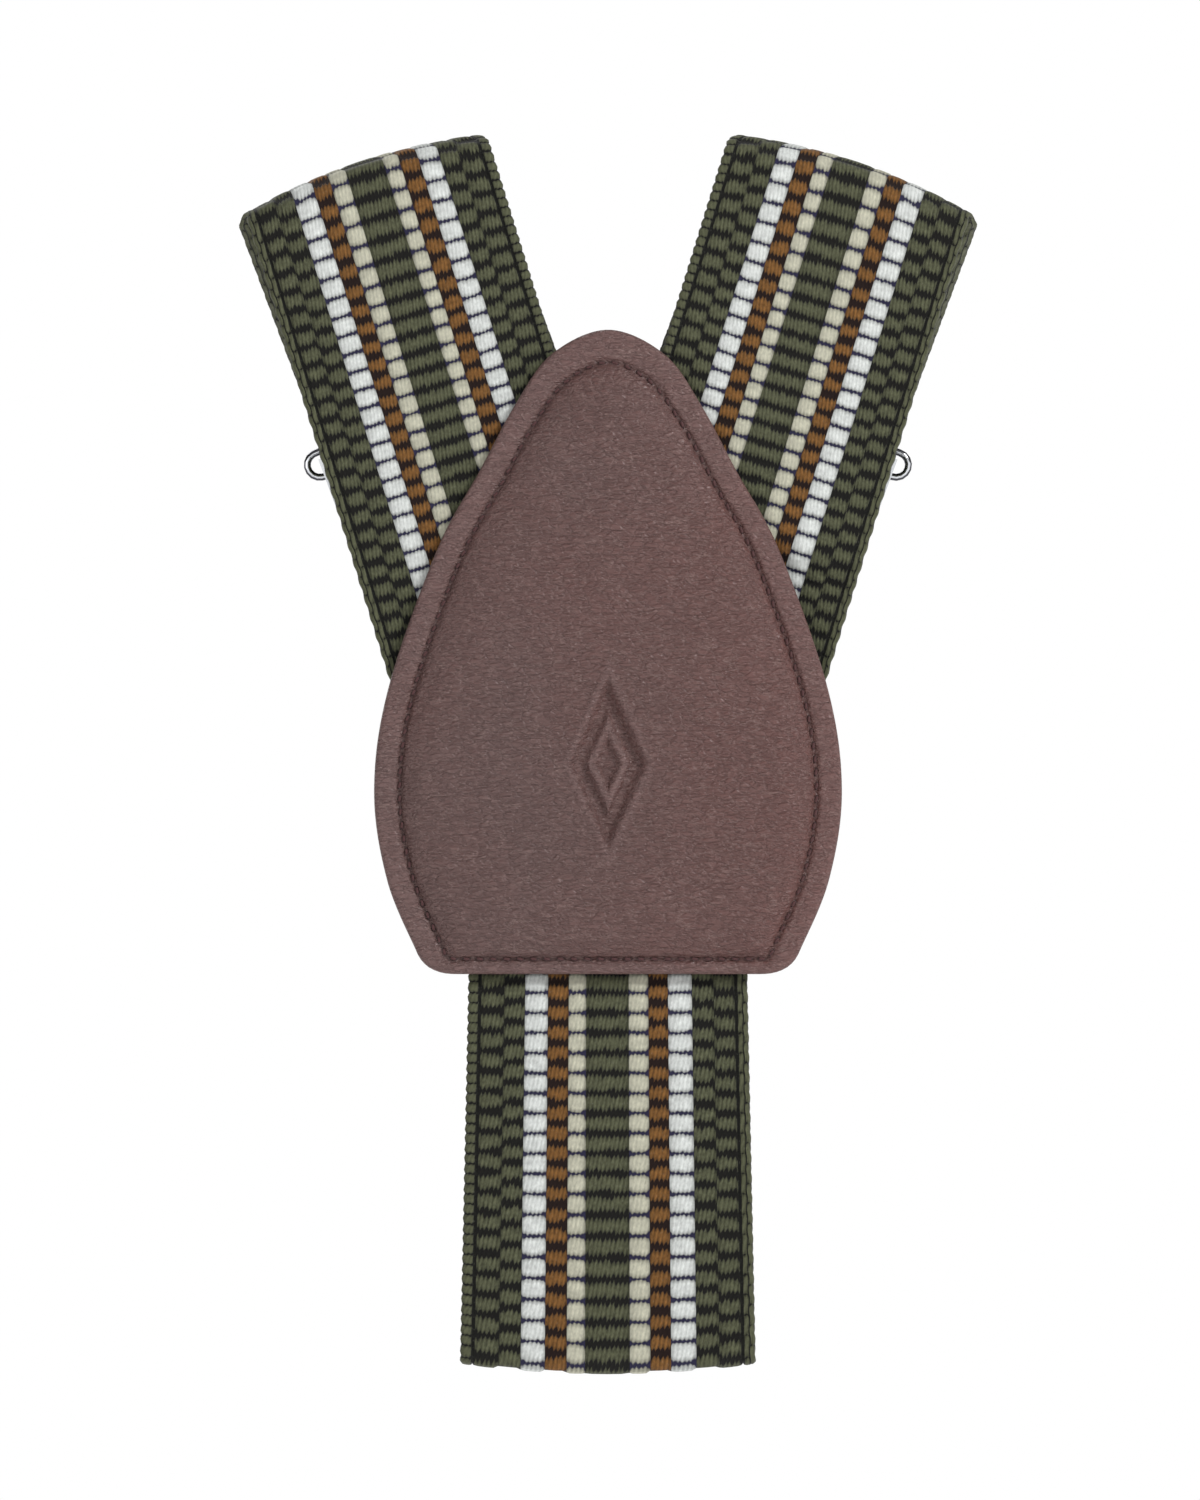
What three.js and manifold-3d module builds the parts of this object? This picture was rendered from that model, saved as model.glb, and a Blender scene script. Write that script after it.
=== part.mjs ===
// Clip-on suspenders with a Y back, folded as they are sold: a leather cross
// patch, two front straps folded into hanks and one back strap folded double.
// Millimetres. +X is to the right, +Y is away from the patch's face and +Z is up.
// The origin is midway between the two shoulder folds, level with their tops.
import * as THREE from 'three';
import { mergeVertices } from 'three/addons/utils/BufferGeometryUtils.js';
import Module from 'manifold-3d';

const wasm = await Module();
wasm.setup();

// ---------- driving dimensions ----------
const GAP = 0.3; // air between neighbours
const webbingThickness = 1.4;

const frontStrapWidth = 35;
const frontStrapAngle = THREE.MathUtils.degToRad(17.2); // each front strap from the vertical
const shoulderReach = 112.8; // from where the strap axes cross to the corners of the top fold
const strapStartReach = 12; // a front strap's sewn end
const strapJoggle = 4; // length over which the right strap comes level with the left one
const shoulderBow = 1.9; // the top fold's middle stands this much further out
const shoulderBowLength = 18.8; // the bow fades out over this length
const hankRuns = 8; // runs of a front strap before its adjuster's run, an even number
const hankMiddleGap = 0.61; // from the middle plane to the inner corners of the low folds
const wideFoldHeight = 2.6; // wide folds are flattened to this
const hankSplay = THREE.MathUtils.degToRad(3.2); // the hank leans outwards behind the front run
const splayPivotDrop = 25.8; // below the shoulder, where the leaning runs cross the front run
const tailJoinDrop = 7.8; // below the shoulder, where the tail takes over from the strap
const bailMiddleGap = 2.889; // from the middle plane to the middle of a bail's inner end

const backStrapTopWidth = 38.2;
const backStrapBottomWidth = 40.6;
const backStrapStart = 27.5; // the back strap's sewn end, above the crossing
const backStrapDrop = 56.2; // from the crossing down to the corners of the bottom fold
const backStrapBow = 1.4;
const backFoldTop = 22.5; // top of the back strap's rear fold, above the crossing
const backBowLength = 26.2; // the bottom fold's bow fades out over this length
const backFoldOpening = 1.0; // clear space inside the bottom fold
const backRunOffset = 0.2; // the rear run lies this much behind the front straps' first rear run
const backTailGap = 0.4; // from the rear run to the sewn tail
const backJoggleTop = 4; // the back strap comes forward from here, above the crossing,
const backJoggleBelow = 2; // to here, below the patch's edge
const backRunStraight = 6; // below the patch's edge, where the rear run becomes straight
const backBailLevel = 6; // upper wire of the back clip's bail, above the crossing
const backTailLength = 12;
const backTackDrop = 4; // from the tail's end to its tack

const patchHeight = 88.7;
const patchBelowCrossing = 2.5;
const patchWidest = 32.2; // half width
const patchBottomHalf = 21; // half width of the straight bottom edge
const patchCornerReach = 1.2; // how far inside the corner its rounding aims
// The patch's egg shape from the bottom corner to the apex, as shares of its half width and height.
const patchProfile = [
  [0.8199, 0.0361], [0.9441, 0.1454], [1, 0.2852], [0.9379, 0.4453],
  [0.7298, 0.6595], [0.5466, 0.7824], [0.2422, 0.9617], [0, 1],
];
const faceLeather = 1.4;
const backingLeather = 1.0;
const seamInset = 3.5; // from the patch's side edge to its seam
const seamRise = 1.9; // from the bottom edge to the seam's bottom row
const panelRise = 1.8; // the puffed panel over the border
const panelWall = 0.9;
const backingRim = 2; // the rim round the backing that meets the face
const threadDiameter = 0.6;
const seamOpening = 0.8; // between the seam's first and last stitch
const seamLift = 0.05; // thread over the border

const wire = 1.0; // bail wire diameter
const frontBailOverhang = 3.5; // a bail's end beyond the webbing's edge
const backBailOverhang = 2.3;
const wireClearance = 0.2;
const bailPlay = 0.1; // between the webbing and the clip's sleeve inside a bail

const clipWidth = 20;
const clipLength = 33;
const plateThickness = 0.8;
const sleeveWall = 0.6;
const sleeveInset = 1; // the sleeve is this much narrower than the plate at each end
const sleeveDrop = 6; // from the lower wire to where the plate has its full width
const plateShoulder = 2; // height of the slope up to the sleeve
const plateCorner = 3;
const earThickness = 0.8;
const earHalfHeight = 4.5;
const earTipHalf = 2;
const earReach = 2; // past the pin's axis
const earRoot = 1; // straight part next to the plate
const pinRadius = 0.8;
const pinClearance = 0.1;
const pinDrop = 25; // from the bail's lower wire to the hinge pin
const pinDepth = 3.2; // from the plate's inner face to the pin's axis
const pinOverhang = 0.3; // past each ear
const padThickness = 0.7;
const padHeight = 7;
const padDrop = 1; // the pad's middle below the pin
const hubRadius = 1.5;
const leverThickness = 0.9;
const leverTopDrop = 4; // below the lower wire
const leverLip = 0.9; // the thumb lip stands out this far
const leverLipHeight = 1.5;
const leverNeck = 0.6; // from the lobe to the lever's inner face
const lobeFrom = 0.35; // the cam lobe's arc, in radians below and above the pin
const lobeTo = 0.1;

const adjusterHeight = 11;
const adjusterRise = 5.5; // from the hank's low folds to the adjuster's lower edge
const adjusterWall = 0.8;
const adjusterEarInset = 1.5; // the ears are this much shorter at each end
const adjusterEarMargin = 0.7; // the ears' material behind the bar
const adjusterSideGap = 0.3;
const adjusterBarRadius = 0.8;
const tailEnd = 1; // the tail's sewn end stands above the adjuster
const clipSpace = 0.9; // between a tail's tack and the clip's plate
const tackThickness = 0.5;
const tackHeight = 1.6;
const tackInset = 4; // from the webbing's edge to the tack's end
const tackDrop = 2.5; // from the adjuster's top to the tack
const tackLift = 0.1;
const throughCut = 1; // how far a cutting tool goes past what it cuts

// ---------- derived places ----------
const half = webbingThickness / 2;
const patchFlangeBack = -half - GAP;
const patchFlangeFront = patchFlangeBack - faceLeather;
const patchPanelFront = patchFlangeFront - panelRise;
const underPatchPitch = webbingThickness + GAP;
const backStrapUnderPatch = 2 * underPatchPitch;
const backingFront = backStrapUnderPatch + half + GAP;
const crossingZ = -(shoulderReach * Math.cos(frontStrapAngle)
  + (frontStrapWidth / 2) * Math.sin(frontStrapAngle));
const patchBottomZ = crossingZ - patchBelowCrossing;
const panelInset = seamInset + threadDiameter / 2 + GAP;
const panelBottom = seamRise + threadDiameter / 2 + GAP;

const wireRadius = wire / 2;
const turnRadius = wireRadius + wireClearance + half; // the webbing's middle round a wire
const sleeveOuter = wireRadius + wireClearance + sleeveWall;
const wireSpacing = turnRadius + half + bailPlay + sleeveOuter;
const plateBack = plateThickness - sleeveOuter;
const frontBailHalf = frontStrapWidth / 2 + frontBailOverhang;
const backBailHalf = backStrapTopWidth / 2 + backBailOverhang;

const splayPivotReach = shoulderReach - splayPivotDrop;
const tailJoinReach = shoulderReach - tailJoinDrop;
const hankAngle = frontStrapAngle + hankSplay;
// The low folds come as far down as their inner corners keep off the middle plane.
const lowFoldReach = splayPivotReach + (hankMiddleGap
  + (frontStrapWidth / 2) * Math.cos(hankAngle)
  - splayPivotReach * Math.sin(frontStrapAngle)) / Math.sin(hankAngle);
const adjusterReach = lowFoldReach + adjusterRise + adjusterHeight / 2; // its middle
// So do the bails with their inner ends; this is the upper wire.
const bailReach = splayPivotReach + wireSpacing / 2 + (bailMiddleGap
  + frontBailHalf * Math.cos(hankAngle)
  - splayPivotReach * Math.sin(frontStrapAngle)) / Math.sin(hankAngle);

const hankPitch = webbingThickness + GAP;
const firstRearRunDepth = backingFront + backingLeather + GAP + half;
const adjusterRunDepth = firstRearRunDepth + (hankRuns - 2) * hankPitch
  + webbingThickness + adjusterWall + 3 * GAP;
const barTurnRadius = adjusterBarRadius + wireClearance + half;
const barDepth = adjusterRunDepth + half + GAP + barTurnRadius + half;
const tailDepth = barDepth + barTurnRadius;
const frontBailDepth = tailDepth + half + tackLift + tackThickness + clipSpace + sleeveOuter;
const clipRunDepth = frontBailDepth + turnRadius;
const backFoldGap = webbingThickness + backFoldOpening;
const backRunDepth = firstRearRunDepth + backRunOffset;
const backBailDepth = backRunDepth + webbingThickness + backTailGap + turnRadius;
const backClipRunDepth = backBailDepth + turnRadius;

// ---------- materials ----------
const finish = (color, roughness, metalness) => () => new THREE.MeshStandardMaterial({
  color, roughness, metalness,
});
const leather = finish(0x69504e, 0.6, 0);
const foam = finish(0xb8b0a0, 0.9, 0);
const webbing = finish(0x585a44, 0.85, 0);
const thread = finish(0x3a2722, 0.7, 0);
const chrome = finish(0xd0d3d6, 0.18, 1);
const padRubber = finish(0x2a2a2c, 0.6, 0);

// ---------- small helpers ----------
function toSolid(geometry) {
  const g = geometry.index === null ? geometry.clone() : geometry.toNonIndexed();
  g.deleteAttribute('normal');
  g.deleteAttribute('uv');
  const m = mergeVertices(g, 1e-4);
  return new wasm.Manifold(new wasm.Mesh({
    numProp: 3,
    vertProperties: new Float32Array(m.attributes.position.array),
    triVerts: new Uint32Array(m.index.array),
  }));
}

function toGeometry(solid) {
  const mesh = solid.getMesh();
  const g = new THREE.BufferGeometry();
  g.setAttribute('position', new THREE.BufferAttribute(new Float32Array(mesh.vertProperties), 3));
  g.setIndex(new THREE.BufferAttribute(new Uint32Array(mesh.triVerts), 1));
  g.computeVertexNormals();
  return g;
}

// Boxes given by their low and high corners.
function boxBetween(low, high) {
  const g = new THREE.BoxGeometry(high[0] - low[0], high[1] - low[1], high[2] - low[2]);
  g.translate((low[0] + high[0]) / 2, (low[1] + high[1]) / 2, (low[2] + high[2]) / 2);
  return g;
}

// A round bar along X.
function barAlongX(radius, length, sides) {
  const g = new THREE.CylinderGeometry(radius, radius, length, sides);
  g.rotateZ(Math.PI / 2);
  return g;
}

// Extrudes an outline drawn as (depth, height) across X, in a number of steps.
function extrudeAcross(shape, width, steps) {
  const g = new THREE.ExtrudeGeometry(shape, {
    depth: width, steps, bevelEnabled: false, curveSegments: 8,
  });
  // (x, y, z) of the extrusion becomes (z, x, y)
  const toAcross = new THREE.Matrix4().set(
    0, 0, 1, -width / 2,
    1, 0, 0, 0,
    0, 1, 0, 0,
    0, 0, 0, 1,
  );
  g.applyMatrix4(toAcross);
  return g;
}

// Extrudes an outline drawn as (x, height) back along Y, between two depths.
function extrudeBack(shape, front, back) {
  const g = new THREE.ExtrudeGeometry(shape, {
    depth: back - front, bevelEnabled: false, curveSegments: 10,
  });
  g.rotateX(Math.PI / 2);
  g.translate(0, back, 0);
  return g;
}

function reshape(geometry, move) {
  const p = geometry.attributes.position;
  const v = new THREE.Vector3();
  for (let i = 0; i < p.count; i += 1) {
    v.fromBufferAttribute(p, i);
    move(v);
    p.setXYZ(i, v.x, v.y, v.z);
  }
  return geometry;
}

const suspenders = new THREE.Group();

function addPiece(parent, name, geometry, material) {
  const mesh = new THREE.Mesh(geometry, material());
  mesh.name = name;
  parent.add(mesh);
  return mesh;
}

// ---------- webbing ----------
// A side view of webbing as a middle line of (depth, height) points; turn() adds a round fold.
function turn(line, depth, height, radius, fromAngle, toAngle) {
  const steps = 5;
  for (let i = 0; i <= steps; i += 1) {
    const a = fromAngle + (toAngle - fromAngle) * (i / steps);
    line.push(new THREE.Vector2(depth + radius * Math.cos(a), height + radius * Math.sin(a)));
  }
}

// A fold over the top, from one run's depth to the next; a wide one is flattened.
function foldOverTop(line, from, to, top) {
  const across = (to - from) / 2;
  const up = Math.min(Math.abs(across), wideFoldHeight);
  const steps = up < Math.abs(across) ? 8 : 5;
  for (let i = 0; i <= steps; i += 1) {
    const a = Math.PI * (1 - i / steps);
    line.push(new THREE.Vector2(
      from + across + across * Math.cos(a),
      top - half - up + up * Math.sin(a),
    ));
  }
}

function foldUnder(line, from, to, bottom) {
  const radius = (to - from) / 2;
  turn(line, from + radius, bottom + half + radius, radius, -Math.PI, 0);
}

// Gives the middle line its thickness.
function webbingOutline(line) {
  const left = [];
  const right = [];
  for (let i = 0; i < line.length; i += 1) {
    const before = line[Math.max(i - 1, 0)];
    const after = line[Math.min(i + 1, line.length - 1)];
    const ahead = after.clone().sub(line[i]).normalize();
    const behind = line[i].clone().sub(before).normalize();
    const along = i === 0 ? ahead : (i === line.length - 1 ? behind : ahead.add(behind).normalize());
    const normal = new THREE.Vector2(-along.y, along.x);
    const bend = i > 0 && i < line.length - 1 ? Math.abs(normal.dot(new THREE.Vector2(-behind.y, behind.x))) : 1;
    left.push(line[i].clone().addScaledVector(normal, half / bend));
    right.push(line[i].clone().addScaledVector(normal, -half / bend));
  }
  return new THREE.Shape([...left, ...right.reverse()]);
}

// The top fold bows outwards in its middle.
function bowTop(v) {
  const share = THREE.MathUtils.smoothstep(v.z, shoulderReach - shoulderBowLength, shoulderReach);
  const across = v.x / (frontStrapWidth / 2);
  v.z += shoulderBow * (1 - Math.min(across * across, 1)) * share;
}

// The runs behind the front one lean outwards about the splay pivot.
function splay(v, side) {
  if (v.z < lowFoldReach - GAP) {
    return;
  }
  const share = THREE.MathUtils.smoothstep(v.y, half, firstRearRunDepth - half);
  const angle = side * hankSplay * share;
  const up = v.z - splayPivotReach;
  const across = v.x;
  v.x = across * Math.cos(angle) + up * Math.sin(angle);
  v.z = splayPivotReach + up * Math.cos(angle) - across * Math.sin(angle);
}

// Depth of a run of a front strap, counted from the one in front.
function runDepth(run) {
  if (run === 0) {
    return 0;
  }
  if (run < hankRuns) {
    return firstRearRunDepth + (run - 1) * hankPitch;
  }
  return run === hankRuns ? adjusterRunDepth : clipRunDepth;
}

// Everything on one front strap is drawn along the strap: X across, Y depth, Z up the strap.
function buildFrontStrap(side, name, depthUnderPatch) {
  const strap = new THREE.Group();
  strap.position.set(0, 0, crossingZ);
  strap.rotation.y = side * frontStrapAngle;
  suspenders.add(strap);

  const line = [new THREE.Vector2(depthUnderPatch, strapStartReach)];
  if (depthUnderPatch > 0) {
    line.push(new THREE.Vector2(depthUnderPatch, lowFoldReach - GAP - strapJoggle));
    line.push(new THREE.Vector2(0, lowFoldReach - GAP));
  }
  for (let run = 0; run <= hankRuns; run += 1) {
    if (run % 2 === 0) {
      foldOverTop(line, runDepth(run), runDepth(run + 1), shoulderReach);
    } else {
      foldUnder(line, runDepth(run), runDepth(run + 1), lowFoldReach);
    }
  }
  // round the clip's wire, and back up inside as far as the tail
  turn(line, frontBailDepth, bailReach, turnRadius, 0, -Math.PI);
  const insideTop = shoulderReach - webbingThickness - GAP;
  foldOverTop(line, frontBailDepth - turnRadius, tailDepth, insideTop);
  line.push(new THREE.Vector2(tailDepth, tailJoinReach));

  const webbingGeometry = extrudeAcross(webbingOutline(line), frontStrapWidth, 6);
  reshape(webbingGeometry, (v) => {
    bowTop(v);
    splay(v, side);
  });
  addPiece(strap, `strap_${name}`, webbingGeometry, webbing);

  const lean = new THREE.Group(); // the rigid fittings lean with the hank
  lean.position.set(0, 0, splayPivotReach);
  lean.rotation.y = side * hankSplay;
  strap.add(lean);
  const fittings = new THREE.Group();
  fittings.position.set(0, 0, -splayPivotReach);
  lean.add(fittings);

  buildTail(strap, side, name);
  buildAdjuster(fittings, name);
  buildClip(fittings, name, frontBailDepth, bailReach, frontBailHalf);
}

function buildTail(strap, side, name) {
  const line = [new THREE.Vector2(tailDepth, tailJoinReach - GAP)];
  turn(line, barDepth, adjusterReach, barTurnRadius, 0, -Math.PI);
  line.push(new THREE.Vector2(barDepth - barTurnRadius, adjusterReach + adjusterHeight / 2 + tailEnd));
  const tail = extrudeAcross(webbingOutline(line), frontStrapWidth, 1);
  reshape(tail, (v) => splay(v, side));
  addPiece(strap, `tail_${name}`, tail, webbing);
}

// ---------- adjuster ----------
function buildAdjuster(fittings, name) {
  const innerHalf = frontStrapWidth / 2 + adjusterSideGap;
  const outerHalf = innerHalf + adjusterWall;
  const low = adjusterReach - adjusterHeight / 2;
  const high = adjusterReach + adjusterHeight / 2;
  const faceBack = adjusterRunDepth - half - GAP;
  const faceFront = faceBack - adjusterWall;
  const earBack = barDepth + adjusterBarRadius + adjusterEarMargin;
  let frame = toSolid(boxBetween([-outerHalf, faceFront, low], [outerHalf, faceBack, high]));
  for (const end of [-1, 1]) {
    const xs = [end * innerHalf, end * outerHalf].sort((a, b) => a - b);
    frame = frame.add(toSolid(boxBetween(
      [xs[0], faceFront, low + adjusterEarInset],
      [xs[1], earBack, high - adjusterEarInset],
    )));
  }
  const hole = barAlongX(adjusterBarRadius + pinClearance, 2 * (outerHalf + throughCut), 20);
  hole.translate(0, barDepth, adjusterReach);
  frame = frame.subtract(toSolid(hole));
  addPiece(fittings, `adjuster_frame_${name}`, toGeometry(frame), chrome);

  const bar = barAlongX(adjusterBarRadius, 2 * outerHalf, 16);
  bar.translate(0, barDepth, adjusterReach);
  addPiece(fittings, `adjuster_bar_${name}`, bar, chrome);

  const tackFront = tailDepth + half + tackLift;
  const tackHalf = frontStrapWidth / 2 - tackInset;
  const tack = boxBetween(
    [-tackHalf, tackFront, high - tackDrop],
    [tackHalf, tackFront + tackThickness, high - tackDrop + tackHeight],
  );
  addPiece(fittings, `tail_tack_${name}`, tack, thread);
}

// ---------- clip ----------
// A bail is a closed loop of wire, longer than the webbing is wide.
function bailGeometry(halfLength) {
  const r = wireSpacing / 2;
  const loop = new THREE.Shape();
  const hole = new THREE.Path();
  const straight = halfLength - wireRadius - r;
  loop.absarc(straight, 0, r + wireRadius, -Math.PI / 2, Math.PI / 2, false);
  loop.absarc(-straight, 0, r + wireRadius, Math.PI / 2, 1.5 * Math.PI, false);
  hole.absarc(straight, 0, r - wireRadius, -Math.PI / 2, Math.PI / 2, false);
  hole.absarc(-straight, 0, r - wireRadius, Math.PI / 2, 1.5 * Math.PI, false);
  loop.holes.push(hole);
  const bevel = wireRadius * 0.35;
  const g = new THREE.ExtrudeGeometry(loop, {
    depth: wire - 2 * bevel,
    curveSegments: 8,
    bevelEnabled: true,
    bevelSize: bevel,
    bevelOffset: -bevel,
    bevelThickness: bevel,
    bevelSegments: 1,
  });
  g.translate(0, 0, -(wire - 2 * bevel) / 2);
  g.rotateX(Math.PI / 2);
  return g;
}

function clipPlate() {
  const inner = wireRadius + wireClearance;
  const meet = Math.atan2(-Math.sqrt(sleeveOuter ** 2 - plateBack ** 2), plateBack);
  const profile = new THREE.Shape();
  profile.moveTo(-sleeveOuter, -sleeveDrop);
  profile.lineTo(-sleeveOuter, 0);
  profile.absarc(0, 0, sleeveOuter, Math.PI, meet, true);
  profile.lineTo(plateBack, -sleeveDrop);
  const bore = new THREE.Path();
  bore.absarc(0, 0, inner, 0, 2 * Math.PI, false);
  profile.holes.push(bore);
  const sleeveHalf = clipWidth / 2 - sleeveInset;
  let plate = toSolid(extrudeAcross(profile, 2 * sleeveHalf, 1));

  // the plate below its sleeve, with rounded lower corners
  const w = clipWidth / 2;
  const low = -clipLength + plateCorner;
  const face = new THREE.Shape();
  face.moveTo(-w, -sleeveDrop);
  face.lineTo(-w, low);
  face.absarc(-w + plateCorner, low, plateCorner, Math.PI, 1.5 * Math.PI, false);
  face.lineTo(w - plateCorner, -clipLength);
  face.absarc(w - plateCorner, low, plateCorner, 1.5 * Math.PI, 2 * Math.PI, false);
  face.lineTo(w, -sleeveDrop);
  face.lineTo(sleeveHalf, -sleeveDrop + plateShoulder);
  face.lineTo(-sleeveHalf, -sleeveDrop + plateShoulder);
  plate = plate.add(toSolid(extrudeBack(face, -sleeveOuter, plateBack)));

  const earBack = plateBack + pinDepth + earReach;
  for (const end of [-1, 1]) {
    const ear = new THREE.Shape();
    ear.moveTo(-sleeveOuter, -pinDrop - earHalfHeight);
    ear.lineTo(-sleeveOuter, -pinDrop + earHalfHeight);
    ear.lineTo(plateBack + earRoot, -pinDrop + earHalfHeight);
    ear.lineTo(earBack, -pinDrop + earTipHalf);
    ear.lineTo(earBack, -pinDrop - earTipHalf);
    ear.lineTo(plateBack + earRoot, -pinDrop - earHalfHeight);
    const earSolid = extrudeAcross(ear, earThickness, 1);
    earSolid.translate(end * (w - earThickness / 2), 0, 0);
    plate = plate.add(toSolid(earSolid));
  }
  const hole = barAlongX(pinRadius + pinClearance, clipWidth + 2 * throughCut, 20);
  hole.translate(0, plateBack + pinDepth, -pinDrop);
  return toGeometry(plate.subtract(toSolid(hole)));
}

// The lever lies over the plate; its cam lobe presses on the pad, and swings clear when it opens.
function clipLever() {
  const pinY = plateBack + pinDepth;
  const lobe = pinDepth - padThickness - 2 * GAP;
  const faceBack = pinY + hubRadius;
  const faceFront = faceBack - leverThickness;
  const top = -leverTopDrop;
  const s = new THREE.Shape();
  s.moveTo(faceFront, top - leverLipHeight);
  s.lineTo(faceFront + leverLip, top);
  s.lineTo(faceBack + leverLip, top);
  s.lineTo(faceBack, top - leverLipHeight - GAP);
  s.lineTo(faceBack, -pinDrop);
  s.absarc(pinY, -pinDrop, hubRadius, 0, -Math.PI / 2, true);
  s.lineTo(pinY - lobe * Math.cos(lobeFrom), -pinDrop - lobe * Math.sin(lobeFrom));
  s.absarc(pinY, -pinDrop, lobe, Math.PI + lobeFrom, Math.PI - lobeTo, true);
  s.lineTo(faceFront - 2 * leverNeck, -pinDrop + hubRadius + GAP);
  s.lineTo(faceFront, -pinDrop + hubRadius + leverNeck);
  const bore = new THREE.Path();
  bore.absarc(pinY, -pinDrop, pinRadius + pinClearance, 0, 2 * Math.PI, false);
  s.holes.push(bore);
  return extrudeAcross(s, clipWidth - 2 * (earThickness + GAP), 1);
}

function buildClip(parent, name, depth, reach, bailHalf) {
  const clip = new THREE.Group();
  clip.position.set(0, depth, reach);
  parent.add(clip);

  const bail = bailGeometry(bailHalf);
  bail.translate(0, 0, -wireSpacing / 2);
  addPiece(clip, `bail_${name}`, bail, chrome);

  const hung = new THREE.Group();
  hung.position.set(0, 0, -wireSpacing);
  clip.add(hung);
  addPiece(hung, `clip_plate_${name}`, clipPlate(), chrome);
  addPiece(hung, `clip_lever_${name}`, clipLever(), chrome);

  const pin = barAlongX(pinRadius, clipWidth + 2 * pinOverhang, 16);
  pin.translate(0, plateBack + pinDepth, -pinDrop);
  addPiece(hung, `clip_pin_${name}`, pin, chrome);

  const padHalf = clipWidth / 2 - earThickness - 2 * GAP;
  const padMiddle = -pinDrop - padDrop;
  const pad = boxBetween(
    [-padHalf, plateBack + GAP, padMiddle - padHeight / 2],
    [padHalf, plateBack + GAP + padThickness, padMiddle + padHeight / 2],
  );
  addPiece(hung, `clip_pad_${name}`, pad, padRubber);
}

// ---------- back strap ----------
function buildBackStrap() {
  const strap = new THREE.Group();
  strap.position.set(0, 0, crossingZ);
  suspenders.add(strap);

  const line = [
    new THREE.Vector2(backStrapUnderPatch, backStrapStart),
    new THREE.Vector2(backStrapUnderPatch, backJoggleTop),
    new THREE.Vector2(0, -patchBelowCrossing - backJoggleBelow),
  ];
  foldUnder(line, 0, backFoldGap, -backStrapDrop);
  line.push(new THREE.Vector2(backRunDepth, -patchBelowCrossing - backRunStraight));
  foldOverTop(line, backRunDepth, backClipRunDepth, backFoldTop);
  turn(line, backBailDepth, backBailLevel, turnRadius, 0, -Math.PI);
  const tailX = backBailDepth - turnRadius;
  line.push(new THREE.Vector2(tailX, backBailLevel + backTailLength));
  const g = extrudeAcross(webbingOutline(line), 1, 6);
  reshape(g, (v) => {
    const share = THREE.MathUtils.clamp(-v.z / backStrapDrop, 0, 1);
    const low = THREE.MathUtils.smoothstep(-v.z, backStrapDrop - backBowLength, backStrapDrop);
    v.z -= backStrapBow * (1 - 4 * v.x * v.x) * low;
    v.x *= THREE.MathUtils.lerp(backStrapTopWidth, backStrapBottomWidth, share);
  });
  addPiece(strap, 'strap_back', g, webbing);

  const tackFront = backClipRunDepth + half + tackLift;
  const tackLevel = backBailLevel + backTailLength - backTackDrop;
  const tackHalf = backStrapTopWidth / 2 - tackInset;
  const tack = boxBetween(
    [-tackHalf, tackFront, tackLevel],
    [tackHalf, tackFront + tackThickness, tackLevel + tackHeight],
  );
  addPiece(strap, 'end_tack_back', tack, thread);
  buildClip(strap, 'back', backBailDepth, backBailLevel, backBailHalf);
}

// ---------- patch ----------
// The patch's right side from its bottom corner to its apex, inset by a margin.
function patchSide(inset) {
  const curve = new THREE.SplineCurve(patchProfile.map(
    ([across, up]) => new THREE.Vector2(across * patchWidest, up * patchHeight),
  ));
  const steps = 28;
  const points = [];
  for (let i = 0; i < steps; i += 1) {
    const along = curve.getTangent(i / steps);
    const p = curve.getPoint(i / steps).add(new THREE.Vector2(-along.y, along.x).multiplyScalar(inset));
    if (p.x > inset / 2) {
      points.push(p);
    }
  }
  points.push(new THREE.Vector2(0, patchHeight - inset));
  return points;
}

function patchShape(inset, bottom) {
  const points = patchSide(inset);
  const corner = points[0];
  const shape = new THREE.Shape();
  shape.moveTo(-patchBottomHalf + inset / 2, bottom);
  shape.lineTo(patchBottomHalf - inset / 2, bottom);
  shape.quadraticCurveTo(corner.x - patchCornerReach, bottom, corner.x, corner.y);
  for (const p of points.slice(1)) {
    shape.lineTo(p.x, p.y);
  }
  for (const p of points.slice(0, -1).reverse()) {
    shape.lineTo(-p.x, p.y);
  }
  shape.quadraticCurveTo(-corner.x + patchCornerReach, bottom, -patchBottomHalf + inset / 2, bottom);
  return shape;
}

// Room for a strap through the patch's rim, as a box along the strap.
function strapPassage(angle, width, low, high, front, back) {
  const g = boxBetween([-width / 2, front, low], [width / 2, back, high]);
  g.rotateY(angle);
  g.translate(0, 0, patchBelowCrossing);
  return toSolid(g);
}

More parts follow.
